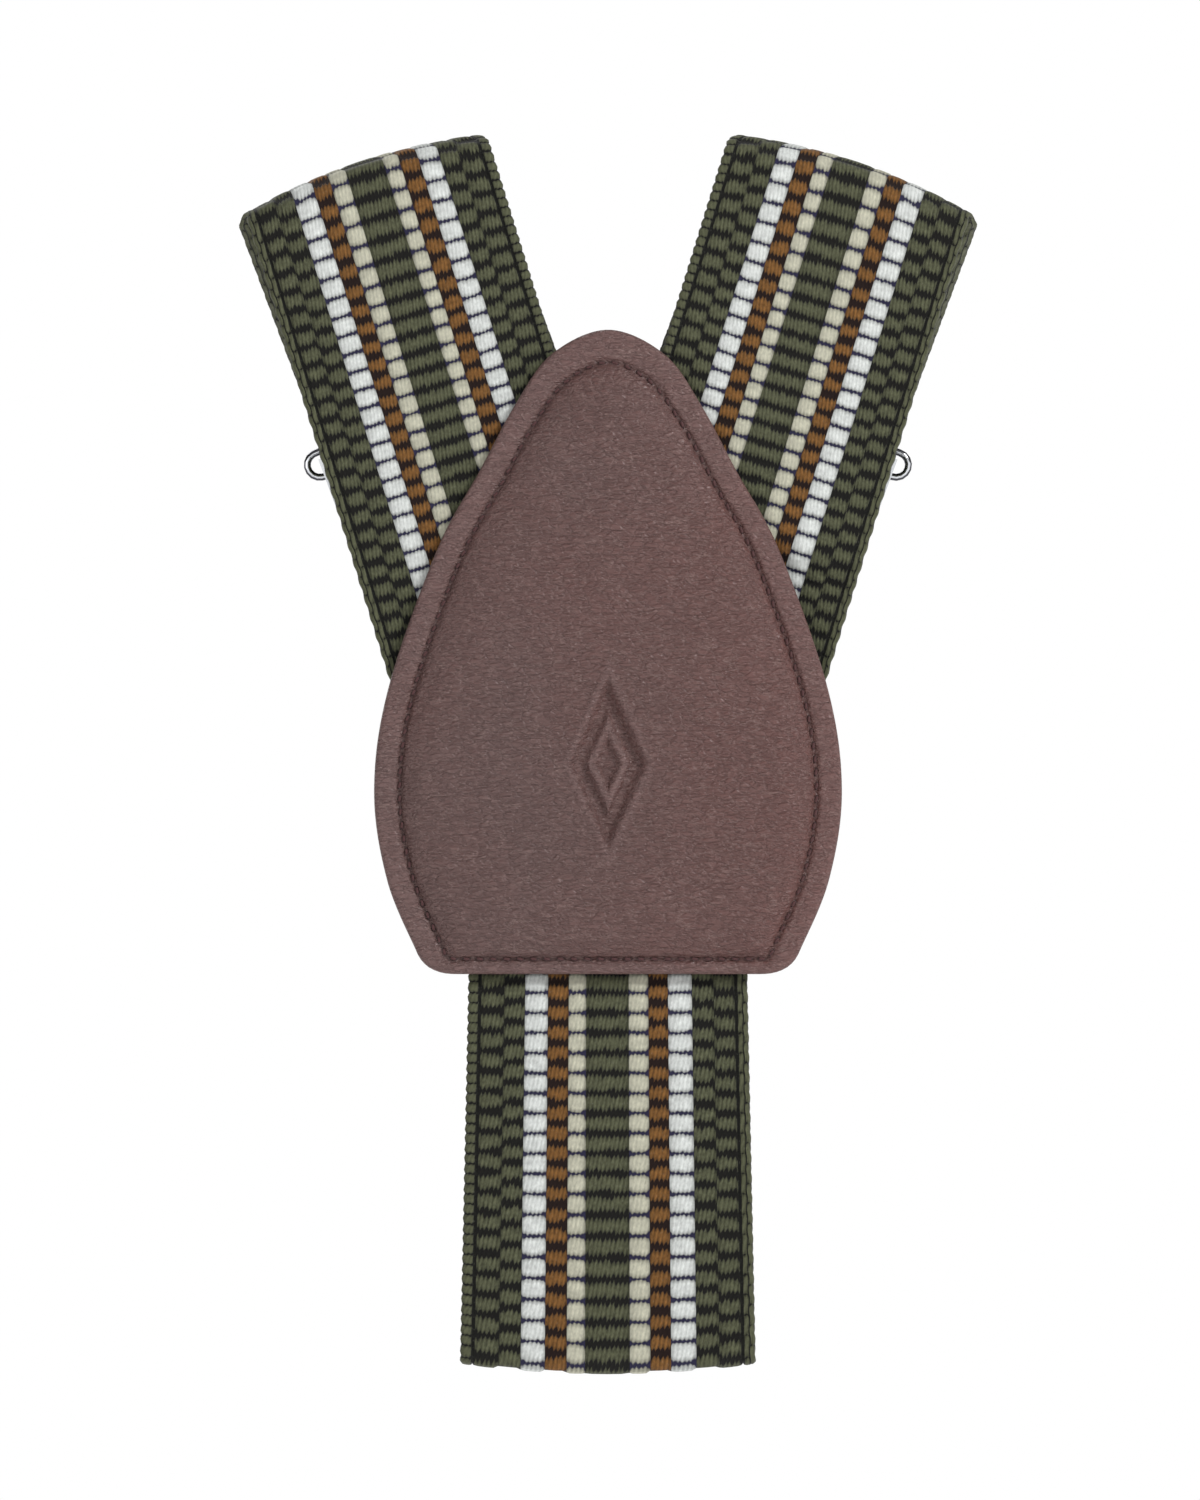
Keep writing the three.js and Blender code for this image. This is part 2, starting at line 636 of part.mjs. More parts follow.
function buildPatch() {
  const patch = new THREE.Group();
  patch.position.set(0, 0, patchBottomZ);
  suspenders.add(patch);

  const flange = toSolid(extrudeBack(patchShape(0, 0), patchFlangeFront, patchFlangeBack));
  const panel = toSolid(extrudeBack(patchShape(panelInset, panelBottom), patchPanelFront, patchFlangeBack));
  const pocketFront = patchPanelFront + faceLeather;
  const pocketShape = patchShape(panelInset + panelWall, panelBottom + panelWall);
  const pocket = toSolid(extrudeBack(pocketShape, pocketFront, patchFlangeBack + throughCut));
  addPiece(patch, 'patch_face', toGeometry(flange.add(panel).subtract(pocket)), leather);

  const paddingShape = patchShape(panelInset + panelWall + GAP, panelBottom + panelWall + GAP);
  const padding = extrudeBack(paddingShape, pocketFront + GAP, patchFlangeBack);
  addPiece(patch, 'patch_padding', padding, foam);

  // The backing is a plate whose rim comes forward to the face, open where the straps leave.
  const cutFront = patchFlangeBack - throughCut;
  const backPlane = backingFront + backingLeather;
  let backing = toSolid(extrudeBack(patchShape(GAP, GAP), patchFlangeBack + GAP, backPlane));
  const hollow = toSolid(extrudeBack(patchShape(backingRim, backingRim), cutFront, backingFront));
  backing = backing.subtract(hollow);
  for (const side of [-1, 1]) {
    backing = backing.subtract(strapPassage(
      side * frontStrapAngle, frontStrapWidth + 2 * GAP, strapStartReach, patchHeight + patchWidest,
      cutFront, underPatchPitch + half + GAP,
    ));
  }
  backing = backing.subtract(strapPassage(
    0, backStrapTopWidth + 3 * GAP, -patchBelowCrossing - throughCut, patchBelowCrossing + backingRim,
    cutFront, backingFront,
  ));
  addPiece(patch, 'patch_backing', toGeometry(backing), leather);

  // The seam runs in the corner between the border and the puffed panel.
  const seam = seamPath();
  const ring = new THREE.Shape();
  ring.absarc(0, 0, threadDiameter / 2, 0, 2 * Math.PI, false);
  const seamGeometry = new THREE.ExtrudeGeometry(ring, {
    steps: 90, extrudePath: seam, bevelEnabled: false, curveSegments: 4,
  });
  addPiece(patch, 'patch_thread', seamGeometry, thread);
}

function seamPath() {
  const side = patchSide(seamInset).filter((p, i, all) => i % 2 === 0 || i === all.length - 1);
  const y = patchFlangeFront - threadDiameter / 2 - seamLift;
  const corner = side[0].x - patchCornerReach;
  const right = [
    new THREE.Vector3(seamOpening / 2, y, seamRise),
    new THREE.Vector3(corner / 2, y, seamRise),
    new THREE.Vector3(corner, y, seamRise),
    ...side.map((p) => new THREE.Vector3(p.x, y, p.y)),
  ];
  const left = right.slice(0, -1).reverse().map((p) => new THREE.Vector3(-p.x, p.y, p.z));
  return new THREE.CatmullRomCurve3([...right, ...left], false, 'centripetal');
}

buildPatch();
buildFrontStrap(-1, 'left', 0);
buildFrontStrap(1, 'right', underPatchPitch);
buildBackStrap();

export default suspenders;
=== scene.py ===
# Clip-on suspenders with a Y back, in leather, striped elastic webbing and chrome.
# All sizes are in metres, in the CAD frame: +X right, +Y away from the patch's face, +Z up.
import math

import bpy
import numpy as np
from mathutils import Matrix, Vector


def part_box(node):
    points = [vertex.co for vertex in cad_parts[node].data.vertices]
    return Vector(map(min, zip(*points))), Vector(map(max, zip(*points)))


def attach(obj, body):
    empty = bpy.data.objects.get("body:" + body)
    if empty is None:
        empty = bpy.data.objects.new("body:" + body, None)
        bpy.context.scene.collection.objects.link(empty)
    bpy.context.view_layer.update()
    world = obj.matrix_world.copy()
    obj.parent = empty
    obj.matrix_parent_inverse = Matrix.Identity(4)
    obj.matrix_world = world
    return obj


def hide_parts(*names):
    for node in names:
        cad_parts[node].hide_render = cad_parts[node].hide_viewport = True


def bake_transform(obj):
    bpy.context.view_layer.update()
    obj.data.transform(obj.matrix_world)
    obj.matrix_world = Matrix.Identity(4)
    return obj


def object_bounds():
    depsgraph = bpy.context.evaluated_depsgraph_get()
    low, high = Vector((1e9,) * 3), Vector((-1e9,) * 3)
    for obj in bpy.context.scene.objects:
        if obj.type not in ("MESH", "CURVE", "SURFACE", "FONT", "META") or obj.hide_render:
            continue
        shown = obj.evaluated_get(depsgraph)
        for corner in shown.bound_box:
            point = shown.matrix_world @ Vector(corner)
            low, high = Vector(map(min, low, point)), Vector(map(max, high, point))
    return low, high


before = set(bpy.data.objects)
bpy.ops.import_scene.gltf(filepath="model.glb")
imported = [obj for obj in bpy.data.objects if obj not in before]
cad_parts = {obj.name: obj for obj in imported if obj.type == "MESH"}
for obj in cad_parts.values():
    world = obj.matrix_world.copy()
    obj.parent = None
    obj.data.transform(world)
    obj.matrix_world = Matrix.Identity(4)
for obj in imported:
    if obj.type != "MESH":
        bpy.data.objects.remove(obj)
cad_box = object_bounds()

MM = 0.001

# ---------- sizes shared with the CAD model, in millimetres ----------
GAP = 0.3
WEBBING = 1.4
HALF = WEBBING / 2
FRONT_WIDTH = 35
FRONT_ANGLE = math.radians(17.2)
SHOULDER_REACH = 112.8
LOW_FOLD_REACH = 62
STRAP_START = 12
STRAP_JOGGLE = 4  # height over which the upper strap steps forward, out from under the patch
SHOULDER_BOW = 1.9
HANK_PITCH = 1.7
HANK_RUNS = 8
WIDE_FOLD_HEIGHT = 2.6
HANK_SPLAY = math.radians(3.2)
SPLAY_PIVOT = 87
ADJUSTER_RUN_GAP = 3.1
CLIP_RUN_GAP = 10
TAIL_JOIN = 105
BAIL_REACH = 79.7
ADJUSTER_REACH = 73
ADJUSTER_HEIGHT = 11
BAR_RADIUS = 0.8
BACK_TOP_WIDTH = 38.2
BACK_BOTTOM_WIDTH = 40.6
BACK_START = 27.5
BACK_STEP_TOP = 4  # the back strap steps forward between this height and the patch's foot
BACK_STEP_FOOT = 2
BACK_RUN_OFFSET = 0.2
BACK_RUN_STRAIGHT = 6  # below the patch, where the rear run starts upright
BACK_DROP = 56.2
BACK_BOW = 1.4
BACK_BOW_START = 30
BACK_FOLD_TOP = 22.5
BACK_FOLD_GAP = 2.4
BACK_CLIP_RUN_GAP = 4.6
BACK_BAIL = 6
BACK_TAIL = 12
PATCH_BELOW_CROSSING = 2.5
WIRE = 1.0
WIRE_CLEARANCE = 0.2
WIRE_SPACING = 3.5
UNDER_PATCH_PITCH = WEBBING + GAP
BACK_UNDER_PATCH = 2 * UNDER_PATCH_PITCH

patch_low, patch_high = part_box("patch_face")
backing_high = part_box("patch_backing")[1]
PATCH_BOTTOM = patch_low.z / MM
PATCH_HEIGHT = (patch_high.z - patch_low.z) / MM
PATCH_FRONT = patch_low.y / MM
FLANGE_BACK = -HALF - GAP
FLANGE_FRONT = FLANGE_BACK - 1.4  # the leather's border is 1.4 thick
BACKING_BACK = backing_high.y / MM
CROSSING = PATCH_BOTTOM + PATCH_BELOW_CROSSING

FIRST_REAR_RUN = BACKING_BACK + GAP + HALF
ADJUSTER_RUN = FIRST_REAR_RUN + (HANK_RUNS - 2) * HANK_PITCH + ADJUSTER_RUN_GAP
CLIP_RUN = ADJUSTER_RUN + CLIP_RUN_GAP
WIRE_TURN = WIRE / 2 + WIRE_CLEARANCE + HALF
FRONT_BAIL_DEPTH = CLIP_RUN - WIRE_TURN
BAR_TURN = BAR_RADIUS + WIRE_CLEARANCE + HALF
BAR_DEPTH = ADJUSTER_RUN + HALF + GAP + BAR_TURN + HALF
TAIL_DEPTH = BAR_DEPTH + BAR_TURN
BACK_RUN = FIRST_REAR_RUN + BACK_RUN_OFFSET
BACK_CLIP_RUN = BACK_RUN + BACK_CLIP_RUN_GAP
BACK_BAIL_DEPTH = BACK_CLIP_RUN - WIRE_TURN


# ---------- materials ----------
class Nodes:
    """Short ways to add shader nodes to a new material."""

    def __init__(self, name):
        self.material = bpy.data.materials.new(name)
        self.material.use_nodes = True
        self.tree = self.material.node_tree
        self.shader = self.tree.nodes["Principled BSDF"]

    def add(self, kind, **values):
        node = self.tree.nodes.new(kind)
        for key, value in values.items():
            setattr(node, key, value)
        return node

    def feed(self, socket, value):
        if isinstance(value, bpy.types.NodeSocket):
            self.tree.links.new(value, socket)
        else:
            socket.default_value = value

    def feed_all(self, node, **values):
        for name, value in values.items():
            self.feed(node.inputs[name.replace("_", " ")], value)

    def math(self, operation, a, b=0.0, c=0.0, clamp=False):
        node = self.add("ShaderNodeMath", operation=operation, use_clamp=clamp)
        for socket, value in zip(node.inputs, (a, b, c)):
            self.feed(socket, value)
        return node.outputs[0]

    def times(self, first, *others):
        for other in others:
            first = self.math("MULTIPLY", first, other)
        return first

    def plus(self, first, *others):
        for other in others:
            first = self.math("ADD", first, other)
        return first

    def minus(self, a, b):
        return self.math("SUBTRACT", a, b)

    def off(self, value, middle):
        """How far a value lies from a middle, either way."""
        return self.math("ABSOLUTE", self.minus(value, middle))

    def join(self, x, y):
        node = self.add("ShaderNodeCombineXYZ")
        self.feed(node.inputs[0], x)
        self.feed(node.inputs[1], y)
        return node.outputs[0]

    def split(self, vector):
        node = self.add("ShaderNodeSeparateXYZ")
        self.feed(node.inputs[0], vector)
        return node.outputs

    def split_colour(self, colour):
        node = self.add("ShaderNodeSeparateColor")
        self.feed(node.inputs[0], colour)
        return node.outputs

    def tinted(self, colour, shade):
        """A colour times a shade of grey."""
        grey = self.add("ShaderNodeCombineColor")
        for socket in grey.inputs:
            self.feed(socket, shade)
        return self.mix(1.0, colour, grey.outputs[0], "MULTIPLY")

    def step(self, value, low, high):
        """0 below low, 1 above high, smooth between."""
        return self.span(value, low, high, curve="SMOOTHSTEP")

    def span(self, value, low, high, to_low=0.0, to_high=1.0, curve="LINEAR"):
        node = self.add("ShaderNodeMapRange", interpolation_type=curve)
        self.feed_all(
            node, Value=value, From_Min=low, From_Max=high, To_Min=to_low, To_Max=to_high)
        return node.outputs["Result"]

    def mix(self, share, a, b, blend="MIX"):
        node = self.add("ShaderNodeMix", data_type="RGBA", blend_type=blend)
        self.feed(node.inputs["Factor"], share)
        for socket, value in ((node.inputs[6], a), (node.inputs[7], b)):
            self.feed(socket, value)
        return node.outputs[2]

    def noise(self, vector, scale, detail=3.0, roughness=0.55):
        node = self.add("ShaderNodeTexNoise")
        self.feed_all(node, Vector=vector, Scale=scale, Detail=detail, Roughness=roughness)
        return node.outputs["Fac"]

    def voronoi(self, vector, scale, feature):
        node = self.add("ShaderNodeTexVoronoi", feature=feature)
        self.feed_all(node, Vector=vector, Scale=scale)
        return node.outputs["Distance"]

    def place(self, scale=(1, 1, 1)):
        coordinates = self.add("ShaderNodeTexCoord")
        mapping = self.add("ShaderNodeMapping")
        self.feed_all(mapping, Vector=coordinates.outputs["Object"], Scale=scale)
        return mapping.outputs["Vector"]

    def bands(self, position, stops):
        """A colour for each stretch of 0..1: stops is a list of (start, (r, g, b)), in order."""
        node = self.add("ShaderNodeValToRGB")
        node.color_ramp.interpolation = "CONSTANT"
        elements = node.color_ramp.elements
        while len(elements) < len(stops):
            elements.new(0.5)
        for element, (start, _) in zip(list(elements), stops):
            element.position = start
        for element, (_, colour) in zip(list(elements), stops):
            element.color = (*colour, 1)
        self.feed(node.inputs["Fac"], position)
        return node.outputs["Color"]

    def bump(self, height, strength, distance):
        node = self.add("ShaderNodeBump")
        self.feed_all(node, Height=height, Strength=strength, Distance=distance)
        return node.outputs["Normal"]

    def set(self, **values):
        self.feed_all(self.shader, **values)
        return self.material


def srgb(r, g, b):
    """A screen colour of 0..255 as linear light."""
    def linear(c):
        c /= 255
        return c / 12.92 if c <= 0.04045 else ((c + 0.055) / 1.055) ** 2.4
    return (linear(r), linear(g), linear(b))


def opaque(r, g, b):
    return (*srgb(r, g, b), 1)


OLIVE = srgb(86, 88, 66)
OLIVE_GAP = srgb(19, 18, 15)
WHITE = srgb(214, 217, 214)
CREAM = srgb(191, 189, 170)
BROWN = srgb(124, 85, 42)
BROWN_GAP = srgb(30, 15, 11)
NAVY = srgb(42, 40, 66)
DARK_SEAM = srgb(22, 22, 18)
# the colour of the painted sheen: pale flecks of painted highlight on the yarns
SHEEN_HIGHLIGHT = srgb(150, 150, 138)

# The weave's columns from the bumpy edge across to the corded one. A column is a row of blocks of
# yarn with gaps between them. Each row here holds: where it starts as a share of the width, its
# yarn, its gaps' colour, its phase along the strap, a gap's share of a pitch, how round its
# blocks' corners are, how strongly a gap's edges are toothed, and its blocks per pitch.
COLUMNS = [
    (0.000, OLIVE, OLIVE_GAP, 0.0, 0.12, 0.5, 0.5, 2),
    (0.035, DARK_SEAM, DARK_SEAM, 0.0, 0.10, 0.0, 0.0, 1),
    (0.043, OLIVE, OLIVE_GAP, 0.10, 0.32, 0.3, 1.0, 1),
    (0.126, OLIVE, OLIVE_GAP, 0.56, 0.32, 0.3, 1.0, 1),
    (0.203, WHITE, NAVY, 0.0, 0.11, 0.7, 0.35, 1),
    (0.285, BROWN, BROWN_GAP, 0.5, 0.33, 0.7, 0.9, 1),
    (0.358, CREAM, NAVY, 0.0, 0.12, 0.7, 0.35, 1),
    (0.419, OLIVE, OLIVE_GAP, 0.0, 0.30, 0.1, 1.0, 1),
    (0.573, CREAM, NAVY, 0.0, 0.12, 0.7, 0.35, 1),
    (0.642, BROWN, BROWN_GAP, 0.5, 0.33, 0.7, 0.9, 1),
    (0.714, WHITE, NAVY, 0.0, 0.11, 0.7, 0.35, 1),
    (0.800, OLIVE, OLIVE_GAP, 0.44, 0.32, 0.3, 1.0, 1),
    (0.878, OLIVE, OLIVE_GAP, 0.98, 0.32, 0.3, 1.0, 1),
    (0.953, DARK_SEAM, DARK_SEAM, 0.0, 0.10, 0.0, 0.0, 1),
    (0.963, OLIVE, OLIVE_GAP, 0.0, 0.02, 0.2, 0.5, 1),
    (0.979, DARK_SEAM, DARK_SEAM, 0.0, 0.10, 0.0, 0.0, 1),
    (0.983, OLIVE, OLIVE_GAP, 0.5, 0.02, 0.2, 0.5, 1),
]
COLUMN_ENDS = [c[0] for c in COLUMNS[1:]] + [1.0]
BEADED_EDGE = COLUMN_ENDS[0]  # the first column has two blocks to a pitch
PITCHES_ACROSS = 13.5  # the webbing's width, in pitches
WARP_ENDS = 66  # across the width


def webbing_material():
    """Blocks of yarn and the gaps between them, from the "weave" UVs: u across, v in pitches."""
    n = Nodes("striped_elastic_webbing")
    u, v, _ = n.split(n.add("ShaderNodeUVMap", uv_map="weave").outputs["UV"])
    yarn = n.bands(u, [(c[0], c[1]) for c in COLUMNS])
    gap_colour = n.bands(u, [(c[0], c[2]) for c in COLUMNS])
    phase, gap, corner = n.split_colour(n.bands(u, [(c[0], c[3:6]) for c in COLUMNS]))
    start, width, teeth = n.split_colour(n.bands(
        u, [(c[0], (c[0], end - c[0], c[6])) for c, end in zip(COLUMNS, COLUMN_ENDS)]))

    # reach is 0 in the middle of a gap and 0.5 in the middle of a block, and edge is 1 at its sides
    flat = n.join(n.times(u, PITCHES_ACROSS), v)
    wobble = n.times(n.minus(n.noise(flat, 0.9, 2), 0.5), 0.12)
    ragged = n.times(n.minus(n.noise(flat, 5.5, 2), 0.5), 0.14)
    along = n.times(v, n.plus(1.0, n.math("LESS_THAN", u, BEADED_EDGE)))
    beaten = n.math("FRACT", n.plus(along, phase, n.plus(wobble, ragged)))
    reach = n.minus(0.5, n.off(beaten, 0.5))
    across = n.math("DIVIDE", n.minus(u, start), width)
    edge = n.math("ABSOLUTE", n.math("MULTIPLY_ADD", across, 2.0, -1.0))

    # warp ends, about half a millimetre apart, lean with the yarn's twist and notch the gaps
    warp_phase = n.plus(n.times(u, WARP_ENDS), n.times(beaten, 0.9))
    warp = n.off(n.math("FRACT", warp_phase), 0.5)
    tooth = n.times(n.minus(warp, 0.2), teeth, 0.34)
    end_and_beat = n.join(
        n.math("FLOOR", n.plus(warp_phase, 0.5)), n.math("FLOOR", n.plus(along, phase, 0.5)))
    uneven = n.add("ShaderNodeTexWhiteNoise", noise_dimensions="2D")
    n.feed(uneven.inputs["Vector"], end_and_beat)
    stray = n.times(n.minus(uneven.outputs["Value"], 0.55), n.times(teeth, 0.15))
    rounding = n.times(n.math("POWER", edge, 5.0), n.times(corner, 0.15))
    half_gap = n.plus(n.times(gap, 0.5), n.plus(rounding, n.plus(tooth, stray)))
    block = n.step(reach, n.minus(half_gap, 0.035), n.plus(half_gap, 0.05))

    fibres = n.join(warp_phase, n.times(v, 2.2))
    fibre = n.noise(fibres, 1.9, 4, 0.7)
    strength = n.span(teeth, 0.0, 1.0, 0.15, 1.0)
    # Painted light in the weave: warp_shade is painted shade between the warp ends and a painted
    # highlight on their crowns, side_shade is painted shade at a column's sides, and end_shade is
    # painted shade by the gaps and a painted highlight in a block's middle. fibre_shade and patchy
    # are the yarn's own uneven tone.
    fibre_shade = n.math("MULTIPLY_ADD", n.span(fibre, 0.32, 0.68, -0.42, 0.36), strength, 1.0)
    warp_shade = n.math("MULTIPLY_ADD", n.span(warp, 0.0, 0.5, 0.1, -0.3), strength, 1.0)
    patchy = n.span(n.noise(flat, 1.7, 2), 0.3, 0.7, 0.88, 1.1)
    side_shade = n.span(n.math("POWER", edge, 5.0), 0.0, 1.0, 1.0, 0.62)
    end_shade = n.span(n.minus(reach, half_gap), -0.03, 0.2, 0.5, 1.08)
    shade = n.times(fibre_shade, warp_shade, patchy, n.times(side_shade, end_shade))
    # pale flecks of painted highlight (painted sheen) on the yarns, in random patches
    sheen_highlights = n.step(n.noise(fibres, 3.1, 2, 0.6), 0.6, 0.74)
    yarn_colour = n.mix(n.times(sheen_highlights, 0.22), n.tinted(yarn, shade), (*SHEEN_HIGHLIGHT, 1))
    colour = n.mix(block, gap_colour, yarn_colour)

    height = n.plus(n.times(n.minus(fibre, warp), n.times(strength, 0.9)), block)
    return n.set(
        Base_Color=colour, Roughness=0.86, Normal=n.bump(height, 0.7, 0.14 * MM),
        Sheen_Weight=0.12, Sheen_Roughness=0.5, Specular_IOR_Level=0.25,
    )


def leather_material(name, base, warm_and_lit, valley_shade, pale, fleck_highlight, tint_and_light_share):
    """Pebbled leather with creases that run across. The warm colour tints random blotches, and as
    painted warm light the right side, by the given share; the valley colour is painted shade
    between the pebbles and in the creases, and painted shade with some dirt by the stitches; the
    pale colour lightens the border and is painted highlight on the pressed lozenge's raised ridges;
    and the fleck colour is painted highlight on the grain's lips. The mesh's colour attribute holds
    its lighter border in red, the painted shade and dirt by its stitches in green and the painted
    highlight on the lozenge's ridges in blue."""
    n = Nodes(name)
    wander = n.add("ShaderNodeTexNoise")
    n.feed_all(wander, Vector=n.place(), Scale=420, Detail=2)
    shift = n.add("ShaderNodeVectorMath", operation="SCALE")
    n.feed(shift.inputs[0], wander.outputs["Color"])
    shift.inputs["Scale"].default_value = 0.9 * MM
    moved = n.add("ShaderNodeVectorMath", operation="ADD")
    n.feed(moved.inputs[0], n.place((0.62, 1.0, 1.5)))
    n.feed(moved.inputs[1], shift.outputs[0])
    pebbles = n.step(n.voronoi(moved.outputs[0], 1150, "DISTANCE_TO_EDGE"), 0.0, 0.24)
    creases = n.off(n.noise(n.place((0.6, 1.0, 1.7)), 620, 3, 0.6), 0.5)
    creases = n.step(creases, 0.0, 0.085)
    # Pale flecks on the grain's lips are painted highlight, spread in random patches.
    lips = n.off(n.noise(n.place((0.4, 1.3, 1.65)), 740, 3, 0.55), 0.5)
    fleck_patches = n.span(n.noise(n.place((0.9, 1.0, 1.4)), 420, 2), 0.38, 0.62, 0.25, 1.0)
    highlight_flecks = n.times(n.minus(1.0, n.step(lips, 0.0, 0.045)), fleck_patches)
    soft = n.noise(n.place((0.8, 1, 1.3)), 95, 3, 0.5)

    # The warm colour tints random blotches and, as painted warm light, the patch's right side.
    tint = n.step(n.noise(n.place(), 26, 3, 0.55), 0.35, 0.75)
    lit_right_side = n.span(n.split(n.place())[0], -0.012, 0.03, 0.0, 1.0)
    warm_tint_and_light = n.math("MULTIPLY", n.math("MULTIPLY_ADD", tint, 0.5, lit_right_side), tint_and_light_share, clamp=True)
    colour = n.mix(warm_tint_and_light, (*base, 1), (*warm_and_lit, 1))
    border, stitch_shade_and_dirt, ridge_highlight = n.split_colour(
        n.add("ShaderNodeAttribute", attribute_name="tone_shade_and_highlight").outputs["Color"])
    colour = n.mix(n.times(border, 0.3), colour, (*pale, 1))
    # Painted shade with some dirt along the stitches.
    colour = n.mix(n.times(stitch_shade_and_dirt, 0.3), colour, (*valley_shade, 1))
    # painted highlight on the pressed lozenge's raised ridges
    colour = n.mix(n.times(ridge_highlight, 0.55), colour, (*pale, 1))
    # Painted shade between the pebbles and in the creases, made a little uneven by a soft random
    # tone.
    depth = n.times(n.span(pebbles, 0, 1, 0.88, 1.0), n.span(creases, 0, 1, 0.84, 1.0))
    depth = n.times(depth, n.span(soft, 0.3, 0.7, 0.95, 1.03))
    colour = n.mix(n.math("SUBTRACT", 1.0, depth, clamp=True), colour, (*valley_shade, 1))
    # painted highlight on the grain's lips
    colour = n.mix(n.times(highlight_flecks, 0.32), colour, (*fleck_highlight, 1))

    height = n.plus(n.times(pebbles, 0.7), n.times(creases, 0.6))
    height = n.plus(height, n.plus(n.times(soft, 1.2), n.times(highlight_flecks, 0.5)))
    return n.set(
        Base_Color=colour, Roughness=n.span(pebbles, 0.0, 1.0, 0.55, 0.36),
        Normal=n.bump(height, 0.95, 0.15 * MM), Specular_IOR_Level=0.5, Coat_Weight=0.0,
    )


def thread_material(name, colour):
    """Twisted thread, with painted highlight on its plies' crowns and painted shade between them,
    and painted shade where its ends go into the cloth; v runs from 0 to 1 along a stitch.
    """
    n = Nodes(name)
    u, v, _ = n.split(n.add("ShaderNodeUVMap", uv_map="weave").outputs["UV"])
    twist = n.plus(n.times(u, 2.0), n.times(v, 6.0))
    strand = n.off(n.math("FRACT", twist), 0.5)
    to_end = n.math("ABSOLUTE", n.math("MULTIPLY_ADD", v, 2.0, -1.0))
    # painted shade where a stitch's ends go into the leather; below, painted highlight on each
    # ply's crown and painted shade between the plies
    end_shade = n.span(n.step(to_end, 0.45, 0.95), 0.0, 1.0, 1.0, 0.3)
    shade = n.times(n.span(strand, 0.0, 0.5, 1.25, 0.7), end_shade)
    return n.set(
        Base_Color=n.tinted((*colour, 1), shade), Roughness=0.6,
        Normal=n.bump(strand, 0.5, 0.08 * MM), Sheen_Weight=0.15, Specular_IOR_Level=0.3,
    )


def chrome_material():
    n = Nodes("worn_chrome")
    fine = n.noise(n.place((1, 1, 9)), 900, 3)
    cloud = n.noise(n.place(), 70, 2)
    roughness = n.span(n.plus(n.times(fine, 0.5), cloud), 0.45, 1.05, 0.06, 0.16)
    tone = n.mix(n.step(cloud, 0.35, 0.8), opaque(228, 230, 233), opaque(208, 211, 216))
    scratches = n.bump(fine, 0.06, 0.03 * MM)
    return n.set(Base_Color=tone, Metallic=1.0, Roughness=roughness, Normal=scratches)


def wire_material():
    """Polished wire with painted reflections: a painted highlight down its front and back and
    painted dark reflections round its sides, also darker where it faces up or down.
    """
    n = Nodes("polished_wire")
    _, forward, upward = n.split(n.add("ShaderNodeTexCoord").outputs["Normal"])
    cloud = n.noise(n.place(), 500, 3)
    upright = n.times(n.math("ABSOLUTE", upward), -0.25)
    facing = n.plus(n.math("ABSOLUTE", forward), upright)
    # painted highlight where the wire faces front or back, painted dark reflection elsewhere
    painted_glint = n.step(n.math("MULTIPLY_ADD", cloud, 0.1, facing), 0.78, 0.96)
    tone = n.mix(painted_glint, opaque(78, 78, 84), opaque(226, 228, 232))
    return n.set(Base_Color=tone, Metallic=1.0, Roughness=n.span(cloud, 0.3, 0.7, 0.1, 0.2))


RUBBER_RIB_PITCH = 0.9


def rubber_material():
    n = Nodes("ribbed_rubber")
    height = n.split(n.add("ShaderNodeTexCoord").outputs["Object"])[2]
    rib = n.math("SINE", n.times(height, 2 * math.pi / (RUBBER_RIB_PITCH * MM)))
    speckle = n.noise(n.place(), 1500, 3)
    shade = n.mix(speckle, opaque(34, 34, 37), opaque(58, 57, 60))
    return n.set(
        Base_Color=shade, Roughness=n.span(speckle, 0.3, 0.7, 0.55, 0.75),
        Normal=n.bump(n.plus(rib, speckle), 0.6, 0.15 * MM),
    )


def felt_material():
    n = Nodes("grey_felt")
    hairs = n.noise(n.place((1, 1, 2)), 900, 5, 0.7)
    shade = n.mix(hairs, opaque(120, 116, 108), opaque(196, 192, 182))
    return n.set(
        Base_Color=shade, Roughness=0.95, Normal=n.bump(hairs, 0.8, 0.3 * MM), Sheen_Weight=0.3)


webbing_cloth = webbing_material()
# Leather colours: base; warm tint, which is also painted warm light on the right; painted valley
# shade; pale border and painted ridge highlight; painted fleck highlight; and the warm share.
face_leather = leather_material(
    "pebbled_leather", srgb(103, 78, 75), srgb(111, 72, 67), srgb(42, 28, 27), srgb(132, 105, 102),
    srgb(158, 132, 126), 0.8)
back_leather = leather_material(
    "smooth_leather", srgb(88, 65, 61), srgb(94, 63, 57), srgb(36, 24, 22), srgb(110, 84, 80),
    srgb(104, 80, 76), 0.4)
seam_thread = thread_material("seam_thread", srgb(84, 52, 52))
tack_thread = thread_material("tack_thread", srgb(60, 61, 48))
chrome = chrome_material()
polished_wire = wire_material()
rubber = rubber_material()
felt = felt_material()


# ---------- mesh helpers ----------
def link(name, data):
    """A new object in the scene."""
    thing = bpy.data.objects.new(name, data)
    bpy.context.scene.collection.objects.link(thing)
    return thing


